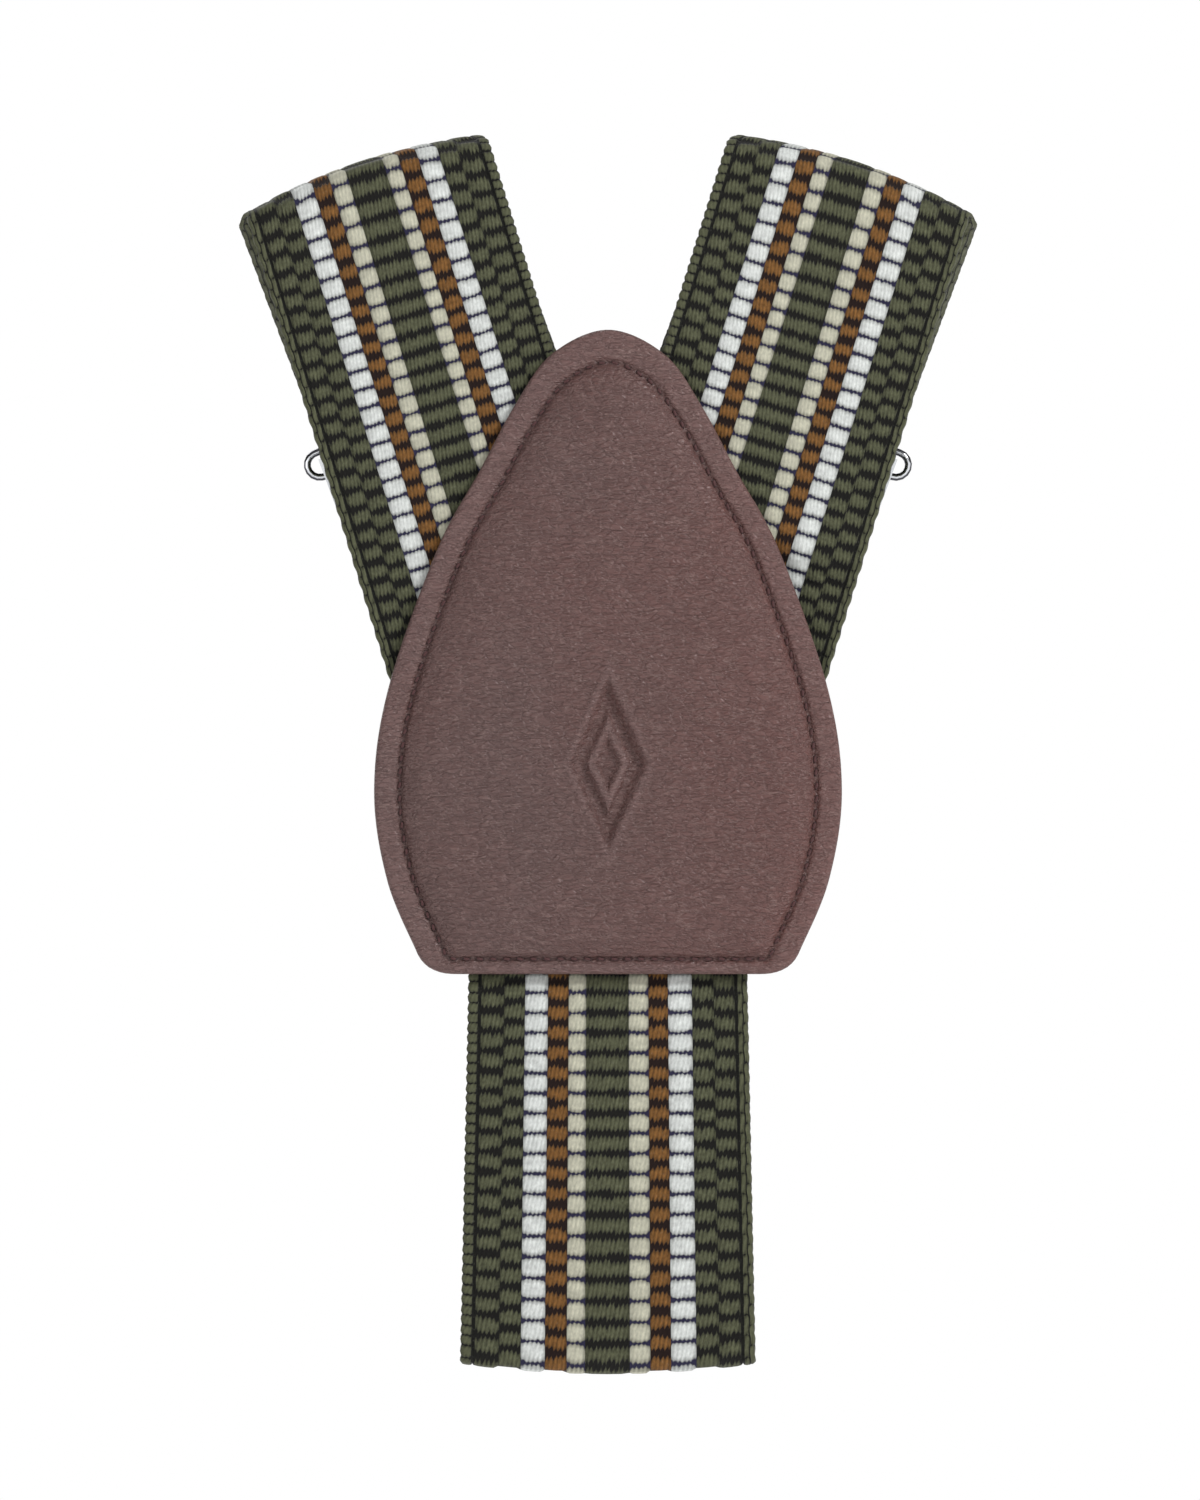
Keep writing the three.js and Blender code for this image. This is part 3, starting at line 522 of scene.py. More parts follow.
def make_piece(name, points, faces, material, body, uvs=None):
    """points in millimetres; uvs holds one (u, v) per point."""
    mesh = bpy.data.meshes.new(name)
    mesh.from_pydata((np.asarray(points) * MM).tolist(), [], [tuple(f) for f in faces])
    if uvs is not None:
        layer = mesh.uv_layers.new(name="weave")
        corner = np.empty(len(mesh.loops), dtype=np.int64)
        mesh.loops.foreach_get("vertex_index", corner)
        layer.data.foreach_set("uv", np.asarray(uvs, dtype=np.float32)[corner].ravel())
    mesh.polygons.foreach_set("use_smooth", [True] * len(mesh.polygons))
    mesh.validate()
    mesh.update()
    mesh.materials.append(material)
    piece = link(name, mesh)
    if body is not None:
        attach(piece, body)
    return piece


def smoothstep(x, low, high):
    t = np.clip((np.asarray(x, dtype=float) - low) / (high - low), 0, 1)
    return t * t * (3 - 2 * t)


def band(a, b, count):
    """Quads between two rings of count points, which begin at a and b."""
    after = [(k + 1) % count for k in range(count)]
    return [(a + k, a + m, b + m, b + k) for k, m in enumerate(after)]


def loft(rings, count):
    """Faces of a tube: bands between rings of count points each, and one face over each end."""
    faces = [f for r in range(rings - 1) for f in band(r * count, (r + 1) * count, count)]
    ends = range(count - 1, -1, -1), range((rings - 1) * count, rings * count)
    return faces + [tuple(end) for end in ends]


# ---------- webbing ----------
class Line:
    """A strap's side view: its middle line as (depth, height) points, in millimetres."""

    def __init__(self, depth, height):
        self.points = [(depth, height)]

    def to(self, depth, height):
        self.points.append((depth, height))

    def turn(self, depth, height, across, up, start, end, steps=16):
        for i in range(steps + 1):
            a = start + (end - start) * i / steps
            self.points.append((depth + across * math.cos(a), height + up * math.sin(a)))

    def over_top(self, low, high, top):
        across = (high - low) / 2
        up = min(abs(across), WIDE_FOLD_HEIGHT)
        self.turn(low + across, top - HALF - up, across, up, math.pi, 0)

    def under(self, low, high, bottom):
        r = (high - low) / 2
        self.turn(low + r, bottom + HALF + r, r, r, -math.pi, 0)


def sample(line, pitch, coarse, fine_spans):
    """Points along a line, their normals and lengths so far, close together in fine spans."""
    p = np.array(line.points)
    keep = np.r_[True, np.linalg.norm(np.diff(p, axis=0), axis=1) > 1e-6]
    p = p[keep]
    lengths = np.r_[0, np.cumsum(np.linalg.norm(np.diff(p, axis=0), axis=1))]
    total = lengths[-1]
    beats = np.array([0, 0.08, 0.2, 0.42, 0.5, 0.58, 0.8, 0.92])
    fine = (np.arange(0, math.ceil(total / pitch) + 1)[:, None] + beats).ravel() * pitch
    rough = np.arange(0, total, coarse)
    in_fine = lambda s: np.any([(s >= lo) & (s <= hi) for lo, hi in fine_spans], axis=0)
    stations = np.unique(np.round(np.r_[fine[in_fine(fine)], rough[~in_fine(rough)], 0, total], 4))
    stations = stations[(stations >= 0) & (stations <= total)]
    stations = stations[np.r_[True, np.diff(stations) > 0.05]]
    at = lambda s: np.c_[np.interp(s, lengths, p[:, 0]), np.interp(s, lengths, p[:, 1])]
    ahead, behind = at(np.minimum(stations + 0.15, total)), at(np.maximum(stations - 0.15, 0))
    tangent = ahead - behind
    tangent /= np.linalg.norm(tangent, axis=1)[:, None]
    normal = np.c_[-tangent[:, 1], tangent[:, 0]]
    return at(stations), normal, stations


EDGE_RELIEF = 0.35  # the edges' relief, as a share of the middle's


def weave_relief(u, v):
    """How far the cloth's surface lies below its highest yarns, as a share of the full relief."""
    relief = np.zeros_like(u)
    for (start, _, _, phase, gap, corner, _, beats), end in zip(COLUMNS, COLUMN_ENDS):
        inside = (u >= start) & (u <= end)
        beaten = np.mod(v * beats + phase, 1.0)
        reach = 0.5 - np.abs(beaten - 0.5)
        edge = np.abs(2 * (u - start) / (end - start) - 1)
        half_gap = gap / 2 + 0.1 * corner * edge ** 6
        block = smoothstep(reach, half_gap - 0.06, half_gap + 0.16)
        block = block * (1 - (0.25 + 0.3 * corner) * edge ** 4)
        depth = EDGE_RELIEF if start < 0.04 or start > 0.95 else 1.0
        relief = np.where(inside, depth * (1 - block), relief)
    groove = np.maximum(1 - np.abs(u - 0.039) / 0.006, 1 - np.abs(u - 0.958) / 0.007)
    return np.maximum(relief, np.clip(groove, 0, 1))


def across_stations():
    """Shares of the width at which the mesh follows the columns' sides and crowns."""
    shares = [0.0]
    for c, end in zip(COLUMNS, COLUMN_ENDS):
        width = end - c[0]
        steps = (0.18, 0.5, 0.82, 1.0) if width > 0.02 else (0.5, 1.0)
        shares += [c[0] + width * s for s in steps]
    return np.array(shares)


RELIEF = 0.34  # between the highest yarns and the bottom of a gap, in millimetres
PROUD = 0.08  # the highest yarns over the webbing's nominal face
PLAIN_INSET = 0.05  # a face that hides in the folds has no relief and lies this far in
EDGE_ROUND = 0.013  # rounding at the edges, as a share of the width
EDGE_DROP = 0.3
SCALLOP = 0.0065  # depth of the bumpy edge's scallops, as a share of the width
RIPPLE = 0.0025  # and of the corded edge's


def webbing(
    name, line, pitch, fine_spans, place, body, replaces, v_start=0.0, flip=False, turned=False,
):
    """Webbing along a line. place(x share -0.5..0.5, depth, height) gives points in the CAD frame.

    A line that starts upwards shows its first run to the front; one that starts downwards is
    turned to do the same, and has its relief on both faces, since both of them show."""
    middle, normal, along = sample(line, pitch, pitch / 3, fine_spans)
    normal = -normal if turned else normal
    shares = across_stations()
    back_shares = shares[-2:0:-1] if turned else np.linspace(1, 0, 15)[1:-1]
    u = np.r_[shares, back_shares]
    is_front = np.r_[np.ones(len(shares)), np.zeros(len(back_shares))]
    rings, count = len(along), len(u)
    U = np.tile(u, (rings, 1))
    V = np.tile((along / pitch + v_start)[:, None], (1, count))
    front = np.tile(is_front, (rings, 1)).astype(bool)
    relief = weave_relief(U, V)
    into_edge = np.clip((np.abs(U - 0.5) - (0.5 - EDGE_ROUND)) / EDGE_ROUND, 0, 1)
    rounding = 1 - np.sqrt(np.clip(1 - into_edge ** 2, 0, 1))
    outer = HALF + PROUD - RELIEF * relief
    offset = np.where(front, outer, -outer if turned else -(HALF - PLAIN_INSET))
    offset = offset - np.where(front, 1, -1) * rounding * (HALF + PROUD) * EDGE_DROP
    # the bumpy edge is scalloped and the corded edge is even
    scallop = SCALLOP * np.abs(np.sin(2 * math.pi * V)) * smoothstep(U, 0.06, 0.0)
    ripple = RIPPLE * np.sin(2 * math.pi * V) * smoothstep(U, 0.94, 1.0)
    X = U - 0.5 - scallop + 0.003 * smoothstep(U, 0.06, 0.0) + ripple
    X = -X if flip else X
    Y = middle[:, 0][:, None] + normal[:, 0][:, None] * offset
    Z = middle[:, 1][:, None] + normal[:, 1][:, None] * offset
    points = place(X.ravel(), Y.ravel(), Z.ravel())
    uvs = np.c_[U.ravel(), V.ravel()]
    faces = loft(rings, count)
    piece = make_piece(name, points, faces, webbing_cloth, body, uvs)
    if flip != turned:
        piece.data.flip_normals()
    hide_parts(*replaces)
    return piece


def run_depth(run):
    """Depth of a front strap's run: 0 is in front, then the hank's, the adjuster's, the clip's."""
    if run == 0:
        return 0.0
    if run < HANK_RUNS:
        return FIRST_REAR_RUN + (run - 1) * HANK_PITCH
    return ADJUSTER_RUN if run == HANK_RUNS else CLIP_RUN


def lean(x, y, z, side):
    """The hank's runs lean outwards behind the front one, about the splay pivot."""
    share = smoothstep(y, HALF, FIRST_REAR_RUN - HALF) * (z > LOW_FOLD_REACH - GAP)
    angle = side * HANK_SPLAY * share
    up = z - SPLAY_PIVOT
    return (
        x * np.cos(angle) + up * np.sin(angle),
        SPLAY_PIVOT + up * np.cos(angle) - x * np.sin(angle),
    )


BOW_START = LOW_FOLD_REACH + 32


def place_front(side):
    """Where a front strap's points go: bowed at the shoulder, leaning, then turned by its angle."""
    def place(share, y, z):
        x = share * FRONT_WIDTH
        rise = smoothstep(z, BOW_START, SHOULDER_REACH)
        z = z + SHOULDER_BOW * (1 - np.minimum((2 * share) ** 2, 1)) * rise
        x, z = lean(x, y, z, side)
        a = side * FRONT_ANGLE
        return np.c_[
            x * math.cos(a) + z * math.sin(a),
            y,
            CROSSING + z * math.cos(a) - x * math.sin(a),
        ]
    return place


FRONT_PITCH = 18.8 / 7.26  # 7.26 blocks of the weave to 18.8 millimetres of strap
BACK_PITCH = 20.1 / 7.26
JOGGLE_TOP = LOW_FOLD_REACH - 0.4
FINE_PAST_FOLD = 58  # the relief goes on this far past the front run's straight
BAIL_LOOP = (112, 44)  # and is there from and to these lengths before the tail joins


def front_strap(side, name, under_depth):
    """A front strap from under the patch to the bail and back, then its tail to the adjuster."""
    line = Line(under_depth, STRAP_START)
    if under_depth > 0:
        line.to(under_depth, JOGGLE_TOP - STRAP_JOGGLE)
        line.to(0, JOGGLE_TOP)
    for run in range(HANK_RUNS + 1):
        if run % 2 == 0:
            line.over_top(run_depth(run), run_depth(run + 1), SHOULDER_REACH)
        else:
            line.under(run_depth(run), run_depth(run + 1), LOW_FOLD_REACH)
    line.turn(FRONT_BAIL_DEPTH, BAIL_REACH, WIRE_TURN, WIRE_TURN, 0, -math.pi)
    line.over_top(FRONT_BAIL_DEPTH - WIRE_TURN, TAIL_DEPTH, SHOULDER_REACH - WEBBING - GAP)
    line.to(TAIL_DEPTH, TAIL_JOIN)
    p = np.array(line.points)
    total = np.linalg.norm(np.diff(p, axis=0), axis=1).sum()
    spans = [
        (0, SHOULDER_REACH - STRAP_START + FINE_PAST_FOLD),
        (total - BAIL_LOOP[0], total - BAIL_LOOP[1]),
    ]
    webbing(
        f"webbing_{name}", line, FRONT_PITCH, spans, place_front(side), "harness",
        [f"strap_{name}"], flip=side < 0,
    )

    tail = Line(TAIL_DEPTH, TAIL_JOIN - GAP)
    tail.turn(BAR_DEPTH, ADJUSTER_REACH, BAR_TURN, BAR_TURN, 0, -math.pi)
    tail.to(BAR_DEPTH - BAR_TURN, ADJUSTER_REACH + ADJUSTER_HEIGHT / 2 + 1)
    end = webbing(
        f"webbing_tail_{name}", tail, FRONT_PITCH, [(0, 60)], place_front(side), None,
        [f"tail_{name}"], v_start=0.4, flip=side > 0,
    )
    stretch = np.array([ADJUSTER_REACH + ADJUSTER_HEIGHT / 2 + 1, TAIL_JOIN - 1.5])
    low, high = place_front(side)(np.zeros(2), np.full(2, TAIL_DEPTH), stretch)
    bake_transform(end)


def back_strap():
    """The back strap from under the patch, down, up behind it and over to the back bail."""
    line = Line(BACK_UNDER_PATCH, BACK_START)
    line.to(BACK_UNDER_PATCH, BACK_STEP_TOP)
    line.to(0, -PATCH_BELOW_CROSSING - BACK_STEP_FOOT)
    line.under(0, BACK_FOLD_GAP, -BACK_DROP)
    line.to(BACK_RUN, -PATCH_BELOW_CROSSING - BACK_RUN_STRAIGHT)
    line.over_top(BACK_RUN, BACK_CLIP_RUN, BACK_FOLD_TOP)
    line.turn(BACK_BAIL_DEPTH, BACK_BAIL, WIRE_TURN, WIRE_TURN, 0, -math.pi)
    line.to(BACK_BAIL_DEPTH - WIRE_TURN, BACK_BAIL + BACK_TAIL)

    def place(share, y, z):
        down = np.clip(-z / BACK_DROP, 0, 1)
        width = BACK_TOP_WIDTH + (BACK_BOTTOM_WIDTH - BACK_TOP_WIDTH) * down
        bow = BACK_BOW * (1 - (2 * share) ** 2) * smoothstep(-z, BACK_BOW_START, BACK_DROP)
        return np.c_[share * width, y, CROSSING + z - bow]

    webbing(
        "webbing_back", line, BACK_PITCH, [(0, 400)], place, "harness", ["strap_back"],
        turned=True)


# ---------- leather patch ----------
# The patch's right side from its foot's corner to the apex, as (x, height over the bottom).
SIDE_POINTS = [
    (26.4, 3.2), (30.4, 12.9), (32.2, 25.3), (30.2, 39.5), (23.5, 58.5), (17.6, 69.4),
    (12.9, 78.2), (7.8, 85.3), (0.0, PATCH_HEIGHT),
]
BOTTOM_HALF = 21.0  # half of the straight bottom
CORNER_PULL = 1.2  # how far in from the side the corner curve's handle lies
SEAM_INSET = 3.5
SEAM_RISE = 2.1
SEAM_APEX_DROP = 0.9  # the seam lies this much lower than its inset at the apex


def catmull_rom(points, per_span):
    """A smooth curve through points, with so many points to each span."""
    p = np.array([points[0], *points, points[-1]], dtype=float)
    out = []
    for i in range(1, len(p) - 2):
        for k in range(per_span):
            t = k / per_span
            a, b, c, d = p[i - 1], p[i], p[i + 1], p[i + 2]
            out.append(0.5 * (
                2 * b + (c - a) * t + (2 * a - 5 * b + 4 * c - d) * t ** 2
                + (3 * b - a - 3 * c + d) * t ** 3))
    out.append(p[-2])
    return np.array(out)


def respace(points, spacing, closed=False):
    """The same polyline in even steps of about the given spacing."""
    q = np.vstack([points, points[:1]]) if closed else points
    d = np.r_[0, np.cumsum(np.linalg.norm(np.diff(q, axis=0), axis=1))]
    count = max(int(round(d[-1] / spacing)), 2)
    s = np.linspace(0, d[-1], count + 1)
    if closed:
        s = s[:-1]
    return np.c_[np.interp(s, d, q[:, 0]), np.interp(s, d, q[:, 1])]


def patch_outline():
    """The closed outline, counter-clockwise from the bottom's middle, and its right side."""
    mirrored = [(-SIDE_POINTS[-2][0], SIDE_POINTS[-2][1])]
    per_span = 16
    side = catmull_rom(SIDE_POINTS + mirrored, per_span)
    side = side[: per_span * (len(SIDE_POINTS) - 1) + 1]
    t = np.linspace(0, 1, 12)[:, None]
    start, end = np.array([BOTTOM_HALF, 0.0]), np.array(SIDE_POINTS[0])
    handle = np.array([SIDE_POINTS[0][0] - CORNER_PULL, 0.0])
    corner = (1 - t) ** 2 * start + 2 * (1 - t) * t * handle + t ** 2 * end
    right = np.vstack([[[0, 0]], corner, side[1:]])
    left = right[1:-1][::-1] * [-1, 1]
    return np.vstack([right, left]), side


def distance_to(points, polyline, closed):
    """Each point's distance to a polyline."""
    a = polyline
    b = np.roll(polyline, -1, axis=0) if closed else polyline[1:]
    a = a if closed else a[:-1]
    best = np.full(len(points), 1e9)
    for p, q in zip(a, b):
        d = q - p
        t = np.clip(((points - p) @ d) / max(d @ d, 1e-12), 0, 1)
        best = np.minimum(best, np.linalg.norm(points - (p + t[:, None] * d), axis=1))
    return best


OUTLINE, SIDE_CURVE = patch_outline()
OUTLINE = respace(OUTLINE, 0.8, closed=True)
EMBLEM = (0.0, 29.0)  # middle of the pressed lozenge
EMBLEM_HALF = (5.2, 11.5)  # its half width and half height


def seam_route():
    """The seam as one closed route: offset sides joined by the bottom row."""
    side = respace(SIDE_CURVE, 0.5)
    tangent = np.gradient(side, axis=0)
    tangent /= np.linalg.norm(tangent, axis=1)[:, None]
    inward = np.c_[-tangent[:, 1], tangent[:, 0]]
    offset = side + inward * SEAM_INSET
    offset[:, 1] -= SEAM_APEX_DROP * smoothstep(side[:, 1], PATCH_HEIGHT - 16, PATCH_HEIGHT)
    offset = offset[(offset[:, 0] >= 0) & (offset[:, 1] >= SEAM_RISE)]
    first, step = offset[0], offset[1] - offset[0]
    corner = first - step * (first[1] - SEAM_RISE) / step[1]
    right = np.vstack([[[0, SEAM_RISE]], [corner], offset])
    return np.vstack([right, right[1:-1][::-1] * [-1, 1]])


SEAM = seam_route()


def inside(points, polygon):
    """Which points a closed polygon holds, by crossings to their right."""
    x, y = points.T
    hits = np.zeros(len(points), dtype=bool)
    for p, q in zip(polygon, np.roll(polygon, -1, axis=0)):
        if p[1] != q[1]:
            spans = (p[1] > y) != (q[1] > y)
            hits ^= spans & (x < (q[0] - p[0]) * (y - p[1]) / (q[1] - p[1]) + p[0])
    return hits


def seam_distance(points):
    """Positive inside the seam, negative on the border."""
    return distance_to(points, SEAM, True) * np.where(inside(points, SEAM), 1, -1)


def emblem_share(points):
    """0 at the pressed lozenge's middle and 1 on its outline."""
    across, up = (np.abs(points - EMBLEM) / EMBLEM_HALF).T
    return across + up


def bell(x, width):
    """1 at x = 0, falling off to both sides."""
    return np.exp(-((x / width) ** 2))


def edge_rounding(edge, radius, depth):
    """How far a leather edge falls away, by the distance in from it."""
    return depth * (1 - np.sqrt(np.clip(1 - np.clip(1 - edge / radius, 0, 1) ** 2, 0, 1)))


def face_front(points):
    """Depth of the face's outer surface: border, seam groove, puffed panel, pressed lozenge."""
    x, height = points.T
    seam = seam_distance(points)
    rounding = edge_rounding(distance_to(points, OUTLINE, True), 0.7, 0.55)
    groove = 0.4 * bell(seam, 0.42)
    puff = (FLANGE_FRONT - PATCH_FRONT) * (1 - np.exp(-np.clip(seam - 0.15, 0, None) / 2.6))
    crown = 0.35 * smoothstep(seam, 4, 24)
    ripple = 0.04 * np.sin(x * 0.31 + 1.0) * np.sin(height * 0.23) * smoothstep(seam, 2, 8)
    q = emblem_share(points)
    floor = 1.0 * smoothstep(q, 1.06, 0.8)
    ridge = 0.8 * smoothstep(q, 0.68, 0.5) - 0.7 * smoothstep(q, 0.38, 0.2)
    lip = 0.2 * bell(q - 1.14, 0.1)
    return FLANGE_FRONT + rounding + groove - puff - crown - ripple + floor - ridge - lip


def radial_grid(outline, centre, shares):
    """Rings of the outline shrunk towards a centre, from the edge inwards, then the centre."""
    c = np.array(centre)
    rings = [c + (outline - c) * s for s in shares]
    return np.vstack([*rings, c[None, :]])


def radial_faces(count, rings, start=0, reverse=False):
    """Faces over a radial grid whose points begin at start."""
    faces = []
    for r in range(rings - 1):
        faces += band(start + r * count, start + (r + 1) * count, count)
    last, centre = start + (rings - 1) * count, start + rings * count
    for k in range(count):
        faces.append((last + k, last + (k + 1) % count, centre))
    return [f[::-1] for f in faces] if reverse else faces


def two_sided(name, outline, centre, shares, front_of, back_of, material):
    """A closed leather or felt piece between two depth functions over an outline."""
    flat = radial_grid(outline, centre, shares)
    count, rings = len(outline), len(shares)
    points = np.vstack([
        np.c_[flat[:, 0], depth(flat), PATCH_BOTTOM + flat[:, 1]] for depth in (front_of, back_of)])
    n = len(flat)
    faces = radial_faces(count, rings) + radial_faces(count, rings, n, reverse=True)
    for k in range(count):
        m = (k + 1) % count
        faces.append((k, n + k, n + m, m))
    uvs = np.vstack([flat, flat]) / 10
    piece = make_piece(name, points, faces, material, "harness", uvs)
    # Colour marks for the leather: a lighter border, painted shade with some dirt by the stitches,
    # and painted highlight on the pressed lozenge's raised ridges.
    seam = seam_distance(flat)
    border = smoothstep(-seam, 0.3, 0.9)
    stitch_shade_and_dirt = bell(seam, 0.3)
    q = emblem_share(flat)
    ridge_highlight = bell(q - 0.48, 0.09) + 0.6 * bell(q - 1.14, 0.09)
    tone_shade_and_highlight = np.c_[border, stitch_shade_and_dirt, ridge_highlight, np.ones(n)]
    layer = piece.data.color_attributes.new("tone_shade_and_highlight", "FLOAT_COLOR", "POINT")
    layer.data.foreach_set("color", np.vstack([tone_shade_and_highlight, tone_shade_and_highlight]).astype(np.float32).ravel())
    return piece


OVER_STRAP = 0.35  # room between a strap and the backing over it
DRAPE = (0.4, 4.5)  # the backing falls back to the face between these distances off a strap


def under_straps(points):
    """Depth that the straps under the patch take up at each point."""
    x = points[:, 0]
    height = points[:, 1] - PATCH_BELOW_CROSSING
    need = np.full(len(points), FLANGE_BACK + 0.05)

    def cover(need, strap_depth, off):
        rise = strap_depth + HALF + OVER_STRAP - FLANGE_BACK
        return np.maximum(need, FLANGE_BACK + rise * (1 - smoothstep(off, *DRAPE)))

    for side, depth in ((-1, 0.0), (1, UNDER_PATCH_PITCH)):
        a = side * FRONT_ANGLE
        across = x * math.cos(a) - height * math.sin(a)
        along = x * math.sin(a) + height * math.cos(a)
        off = np.maximum(np.abs(across) - FRONT_WIDTH / 2, 0) + np.maximum(STRAP_START - along, 0)
        need = cover(need, depth * (along < LOW_FOLD_REACH - STRAP_JOGGLE / 2), off)
    foot = -PATCH_BELOW_CROSSING - BACK_STEP_FOOT
    step = np.clip((height - foot) / (BACK_STEP_TOP - foot), 0, 1) * BACK_UNDER_PATCH
    off = np.maximum(np.abs(x) - BACK_TOP_WIDTH / 2, 0) + np.maximum(height - BACK_START, 0)
    return cover(need, step, off)


BACKING_LEATHER = 1.0


def backing_inner(points):
    edge = distance_to(points, OUTLINE, True)
    dome = FLANGE_BACK + (BACKING_BACK - BACKING_LEATHER - FLANGE_BACK) * smoothstep(edge, 0.6, 8.5)
    return np.maximum(dome, under_straps(points))


def backing_outer(points):
    rounding = edge_rounding(distance_to(points, OUTLINE, True), 0.6, 0.4)
    groove = 0.35 * bell(seam_distance(points), 0.5)
    return backing_inner(points) + BACKING_LEATHER - rounding - groove


def leather_patch():
    shares = np.r_[
        1.0, 0.996, 0.99, 0.982, np.linspace(0.972, 0.82, 24), np.linspace(0.812, 0.012, 84)]
    face_back = lambda p: np.minimum(face_front(p) + 1.25, FLANGE_BACK)
    face = two_sided(
        "patch_face_leather", OUTLINE, EMBLEM, shares, face_front, face_back, face_leather)
    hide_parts("patch_face")

    pad_shares = np.linspace(0.84, 0.02, 30)
    pad_front = lambda p: np.minimum(face_front(p) + 1.4, FLANGE_BACK - 0.05)
    pad_back = lambda p: np.full(len(p), FLANGE_BACK)
    pad = two_sided(
        "patch_felt_padding", OUTLINE, EMBLEM, pad_shares, pad_front, pad_back, felt)
    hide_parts("patch_padding")

    backing_shares = np.r_[
        1.0, 0.996, 0.99, 0.98, np.linspace(0.965, 0.7, 26), np.linspace(0.68, 0.03, 24)]
    backing = two_sided(
        "patch_backing_leather", OUTLINE * [0.992, 1.0], EMBLEM, backing_shares,
        backing_inner, backing_outer, back_leather)
    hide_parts("patch_backing")


# ---------- stitches ----------
# Along a stitch: shares of its length, and its radius there as a share of the full one.
STITCH_PROFILE = [
    (0.0, 0.0), (0.06, 0.55), (0.18, 0.86), (0.35, 1.0),
    (0.65, 1.0), (0.82, 0.86), (0.94, 0.55), (1.0, 0.0),
]
STITCH_TIP = 0.12  # the ends keep this share of the radius
STITCH_FLATNESS = 0.85
STITCH_SAG = 0.25  # how far the ends dip, as a share of the radius


def capsule(start, end, radius, up, sides=8):
    """A stitch: a tube with rounded ends between two points, flattened a little."""
    start, end, up = Vector(start), Vector(end), Vector(up)
    axis = (end - start).normalized()
    across = axis.cross(up).normalized()
    lift = across.cross(axis)
    length = (end - start).length
    points, uvs = [], []
    for t, share in STITCH_PROFILE:
        middle = start + axis * (length * t)
        sag = -STITCH_SAG * radius * (2 * t - 1) ** 2
        w = max(share, STITCH_TIP) * radius
        for k in range(sides):
            a = 2 * math.pi * k / sides
            rise = math.sin(a) * w * STITCH_FLATNESS + sag
            points.append(tuple(middle + across * (math.cos(a) * w) + lift * rise))
            uvs.append((k / sides, t))
    return points, loft(len(STITCH_PROFILE), sides), uvs


def stitch_row(name, segments, radius, up, material, body, replaced):
    """One piece of thread made of a stitch for each (start, end)."""
    points, faces, uvs = [], [], []
    for start, end in segments:
        p, f, t = capsule(start, end, radius, up)
        base = len(points)
        points += p
        uvs += t
        faces += [tuple(i + base for i in face) for face in f]
    piece = make_piece(name, points, faces, material, body, uvs)
    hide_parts(replaced)


SEAM_PITCH = 1.85
SEAM_THREAD_RADIUS = 0.21
SEAM_DEPTH = 0.12  # the thread's middle below the border's surface
SEAM_SLANT = 0.12  # each stitch crosses the seam by this much to either side
SEAM_STITCH = (0.16, 0.78)  # where a stitch starts and ends, as shares of the pitch


def seam_stitches():
    segments = []
    route = respace(SEAM, SEAM_PITCH, closed=True)
    for p, q in zip(route, np.roll(route, -1, axis=0)):
        along = (q - p) / np.linalg.norm(q - p)
        side = np.array([-along[1], along[0]]) * SEAM_SLANT
        ends = (p + (q - p) * SEAM_STITCH[0] + side, p + (q - p) * SEAM_STITCH[1] - side)
        segments.append([(x, FLANGE_FRONT + SEAM_DEPTH, PATCH_BOTTOM + z) for x, z in ends])
    stitch_row(
        "patch_seam_stitches", segments, SEAM_THREAD_RADIUS, (0, -1, 0), seam_thread, "harness",
        "patch_thread")


TACK_STITCHES = 46
TACK_THREAD_RADIUS = 0.27
TACK_HEIGHT = 1.5
TAIL_TACK_WIDTH = 27
END_TACK_WIDTH = 31


def bar_tack(name, node, width, tilt, body):
    """Zigzag thread over a tack bar, which its CAD box places and tilt turns about Y."""
    low, high = (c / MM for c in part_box(node))
    middle = (low + high) / 2
    right = Vector((math.cos(tilt), 0, -math.sin(tilt))) * width
    up = Vector((math.sin(tilt), 0, math.cos(tilt))) * TACK_HEIGHT
    corner = Vector((middle.x, low.y + 0.25, middle.z)) - right / 2 - up / 2
    segments = []
    for i in range(TACK_STITCHES):
        foot = corner + right * (i / TACK_STITCHES)
        top = corner + right * ((i + 0.8) / TACK_STITCHES) + up
        segments.append((foot, top) if i % 2 == 0 else (top, foot))
    stitch_row(name, segments, TACK_THREAD_RADIUS, (0, 1, 0), tack_thread, body, node)


# ---------- metal ----------
def bail(name, cad, middle, angle, half_length, body):
    """A closed loop of round wire: two straights joined by half circles."""
    r = WIRE_SPACING / 2
    straight = half_length - WIRE / 2 - r
    route = []
    for sign in (1, -1):
        for i in range(17):
            a = -math.pi / 2 + math.pi * i / 16
            route.append((sign * (straight + r * math.cos(a)), sign * r * math.sin(a)))
    loop = respace(np.array(route), 0.7, closed=True)
    x_axis = np.array([math.cos(angle), 0, -math.sin(angle)])
    y_axis = np.array([0, 1, 0])
    z_axis = np.array([math.sin(angle), 0, math.cos(angle)])
    rings, sides = len(loop), 14
    points = []
    for p, after, before in zip(loop, np.roll(loop, -1, axis=0), np.roll(loop, 1, axis=0)):
        t = (after - before) / np.linalg.norm(after - before)
        outward = np.array([t[1], -t[0]])
        for k in range(sides):
            a = 2 * math.pi * k / sides
            flat = p + outward * math.cos(a) * WIRE / 2
            depth = y_axis * math.sin(a) * WIRE / 2
            points.append(middle + x_axis * flat[0] + z_axis * flat[1] + depth)
    faces = []
    for ring in range(rings):
        faces += band(ring * sides, (ring + 1) % rings * sides, sides)
    piece = make_piece(name, points, faces, polished_wire, body)
    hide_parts(cad)


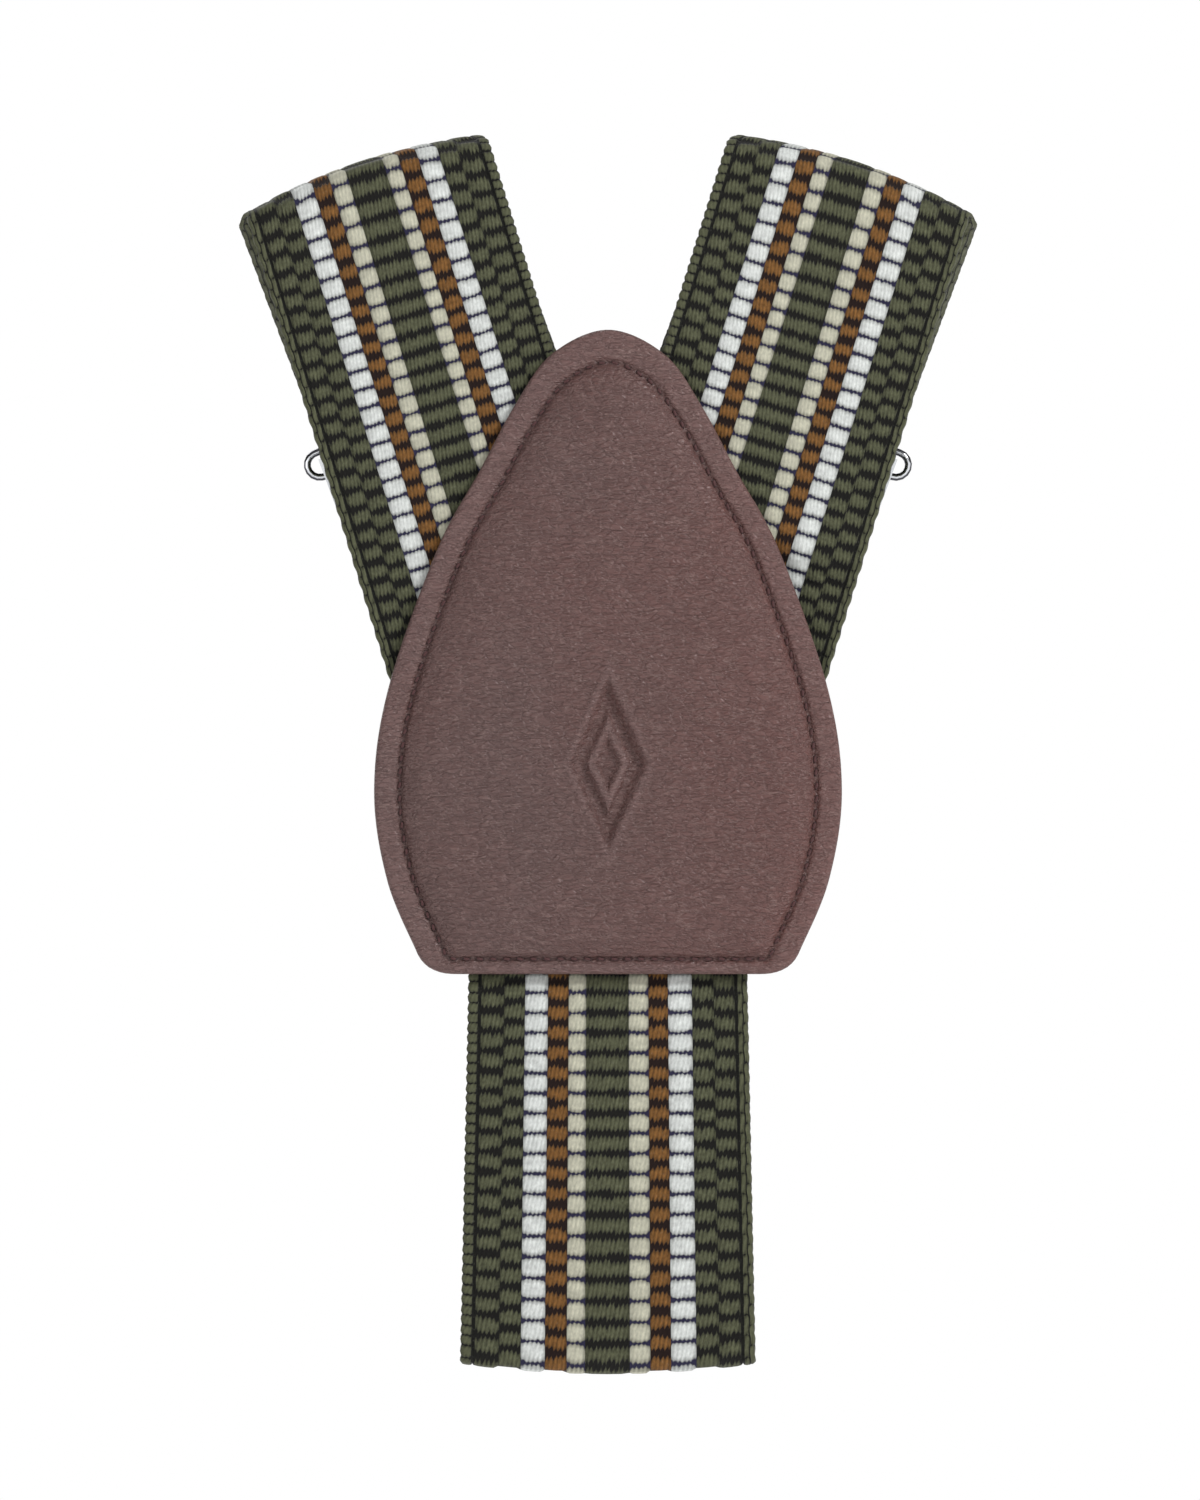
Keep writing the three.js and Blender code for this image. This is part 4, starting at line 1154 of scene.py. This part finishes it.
def bevel(node, width, material):
    """Rounds a CAD part's edges for the render and gives it its material."""
    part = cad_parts[node]
    part.data.materials.clear()
    part.data.materials.append(material)
    rounding = part.modifiers.new("edges", "BEVEL")
    rounding.width = width * MM
    rounding.segments = 3
    rounding.limit_method = "ANGLE"
    rounding.angle_limit = math.radians(35)
    for polygon in part.data.polygons:
        polygon.use_smooth = True
    weighted = part.modifiers.new("normals", "WEIGHTED_NORMAL")
    weighted.keep_sharp = False


def fittings():
    for side in ("left", "right", "back"):
        low, high = (np.array(c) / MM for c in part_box(f"bail_{side}"))
        middle = (low + high) / 2
        sign = {"left": -1, "right": 1, "back": 0}[side]
        angle = sign * (FRONT_ANGLE + HANK_SPLAY)
        half_length = (high[0] - low[0]) / 2
        if sign:
            r = WIRE_SPACING / 2 + WIRE / 2
            half_length = (half_length - r) / math.cos(angle) + r
        bail(f"bail_wire_{side}", f"bail_{side}", middle, angle, half_length, f"{side}_bail")
        bevel(f"clip_plate_{side}", 0.22, chrome)
        bevel(f"clip_lever_{side}", 0.2, chrome)
        bevel(f"clip_pin_{side}", 0.2, chrome)
        bevel(f"clip_pad_{side}", 0.25, rubber)
    for side in ("left", "right"):
        bevel(f"adjuster_frame_{side}", 0.25, chrome)
        bevel(f"adjuster_bar_{side}", 0.2, chrome)


# ---------- studio ----------
CAMERA_DISTANCE = 2.4
PICTURE_HEIGHT = 206.6 * MM  # at the patch
PICTURE_MIDDLE = (-1.1, PATCH_BOTTOM + 30.85)
FLOOR_RADIUS = 1.0
FLOOR_GAP = 0.1  # from the floor up to the CAD model's lowest point
FLOOR_SIDES = 96


def studio():
    camera_data = bpy.data.cameras.new("camera")
    camera = link("camera", camera_data)
    camera_data.lens = camera_data.sensor_width * CAMERA_DISTANCE / PICTURE_HEIGHT
    camera.location = (PICTURE_MIDDLE[0] * MM, -CAMERA_DISTANCE, PICTURE_MIDDLE[1] * MM)
    camera.rotation_euler = (math.pi / 2, 0, 0)
    bpy.context.scene.camera = camera

    floor_mesh = bpy.data.meshes.new("floor")
    reach, level = FLOOR_RADIUS, cad_box[0].z - FLOOR_GAP
    turns = [2 * math.pi * k / FLOOR_SIDES for k in range(FLOOR_SIDES)]
    floor_mesh.from_pydata(
        [(reach * math.cos(a), reach * math.sin(a), level) for a in turns],
        [], [tuple(range(FLOOR_SIDES))])
    floor_mesh.materials.append(Nodes("pale_floor").set(
        Base_Color=(0.86, 0.86, 0.86, 1), Roughness=0.9, Emission_Color=(1, 1, 1, 1),
        Emission_Strength=0.2))
    floor = link("floor", floor_mesh)

    world = bpy.data.worlds.new("studio")
    bpy.context.scene.world = world
    world.use_nodes = True
    tree = world.node_tree
    background = tree.nodes["Background"]
    coordinates = tree.nodes.new("ShaderNodeTexCoord")
    parts = tree.nodes.new("ShaderNodeSeparateXYZ")
    ramp = tree.nodes.new("ShaderNodeValToRGB")
    tree.links.new(coordinates.outputs["Generated"], parts.inputs[0])
    tree.links.new(parts.outputs[2], ramp.inputs["Fac"])
    tree.links.new(ramp.outputs["Color"], background.inputs["Color"])
    ramp.color_ramp.elements[0].position = 0.0
    ramp.color_ramp.elements[0].color = (1, 1, 1, 1)
    ramp.color_ramp.elements[1].position = 1.0
    ramp.color_ramp.elements[1].color = (0.4, 0.4, 0.41, 1)
    for position, grey in ((0.18, 1.0), (0.26, 0.12), (0.6, 0.06), (0.75, 0.35)):
        element = ramp.color_ramp.elements.new(position)
        element.color = (grey, grey, grey, 1)
    background.inputs["Strength"].default_value = 1.0

    def area(name, place, target, size, power):
        data = bpy.data.lights.new(name, "AREA")
        data.size = size
        data.energy = power
        light = link(name, data)
        light.location = place
        aim = Vector(target) - Vector(place)
        light.rotation_euler = aim.to_track_quat("-Z", "Y").to_euler()

    centre = (cad_box[0] + cad_box[1]) / 2
    area("key", (0.8, -0.7, centre.z + 0.75), centre, 0.3, 9)
    area("fill", (-0.9, -1.0, centre.z + 0.1), centre, 0.8, 1.5)
    area("rear", (-0.6, 1.0, centre.z + 0.8), centre, 0.6, 8)
    bpy.context.scene.view_settings.view_transform = "Standard"


studio()
front_strap(-1, "left", 0.0)
front_strap(1, "right", UNDER_PATCH_PITCH)
back_strap()
leather_patch()
seam_stitches()
bar_tack("end_tack_thread", "end_tack_back", END_TACK_WIDTH, 0.0, "harness")
for sign, side in ((-1, "left"), (1, "right")):
    bar_tack(
        f"tail_tack_thread_{side}", f"tail_tack_{side}", TAIL_TACK_WIDTH,
        sign * (FRONT_ANGLE + HANK_SPLAY), f"{side}_adjuster")
fittings()
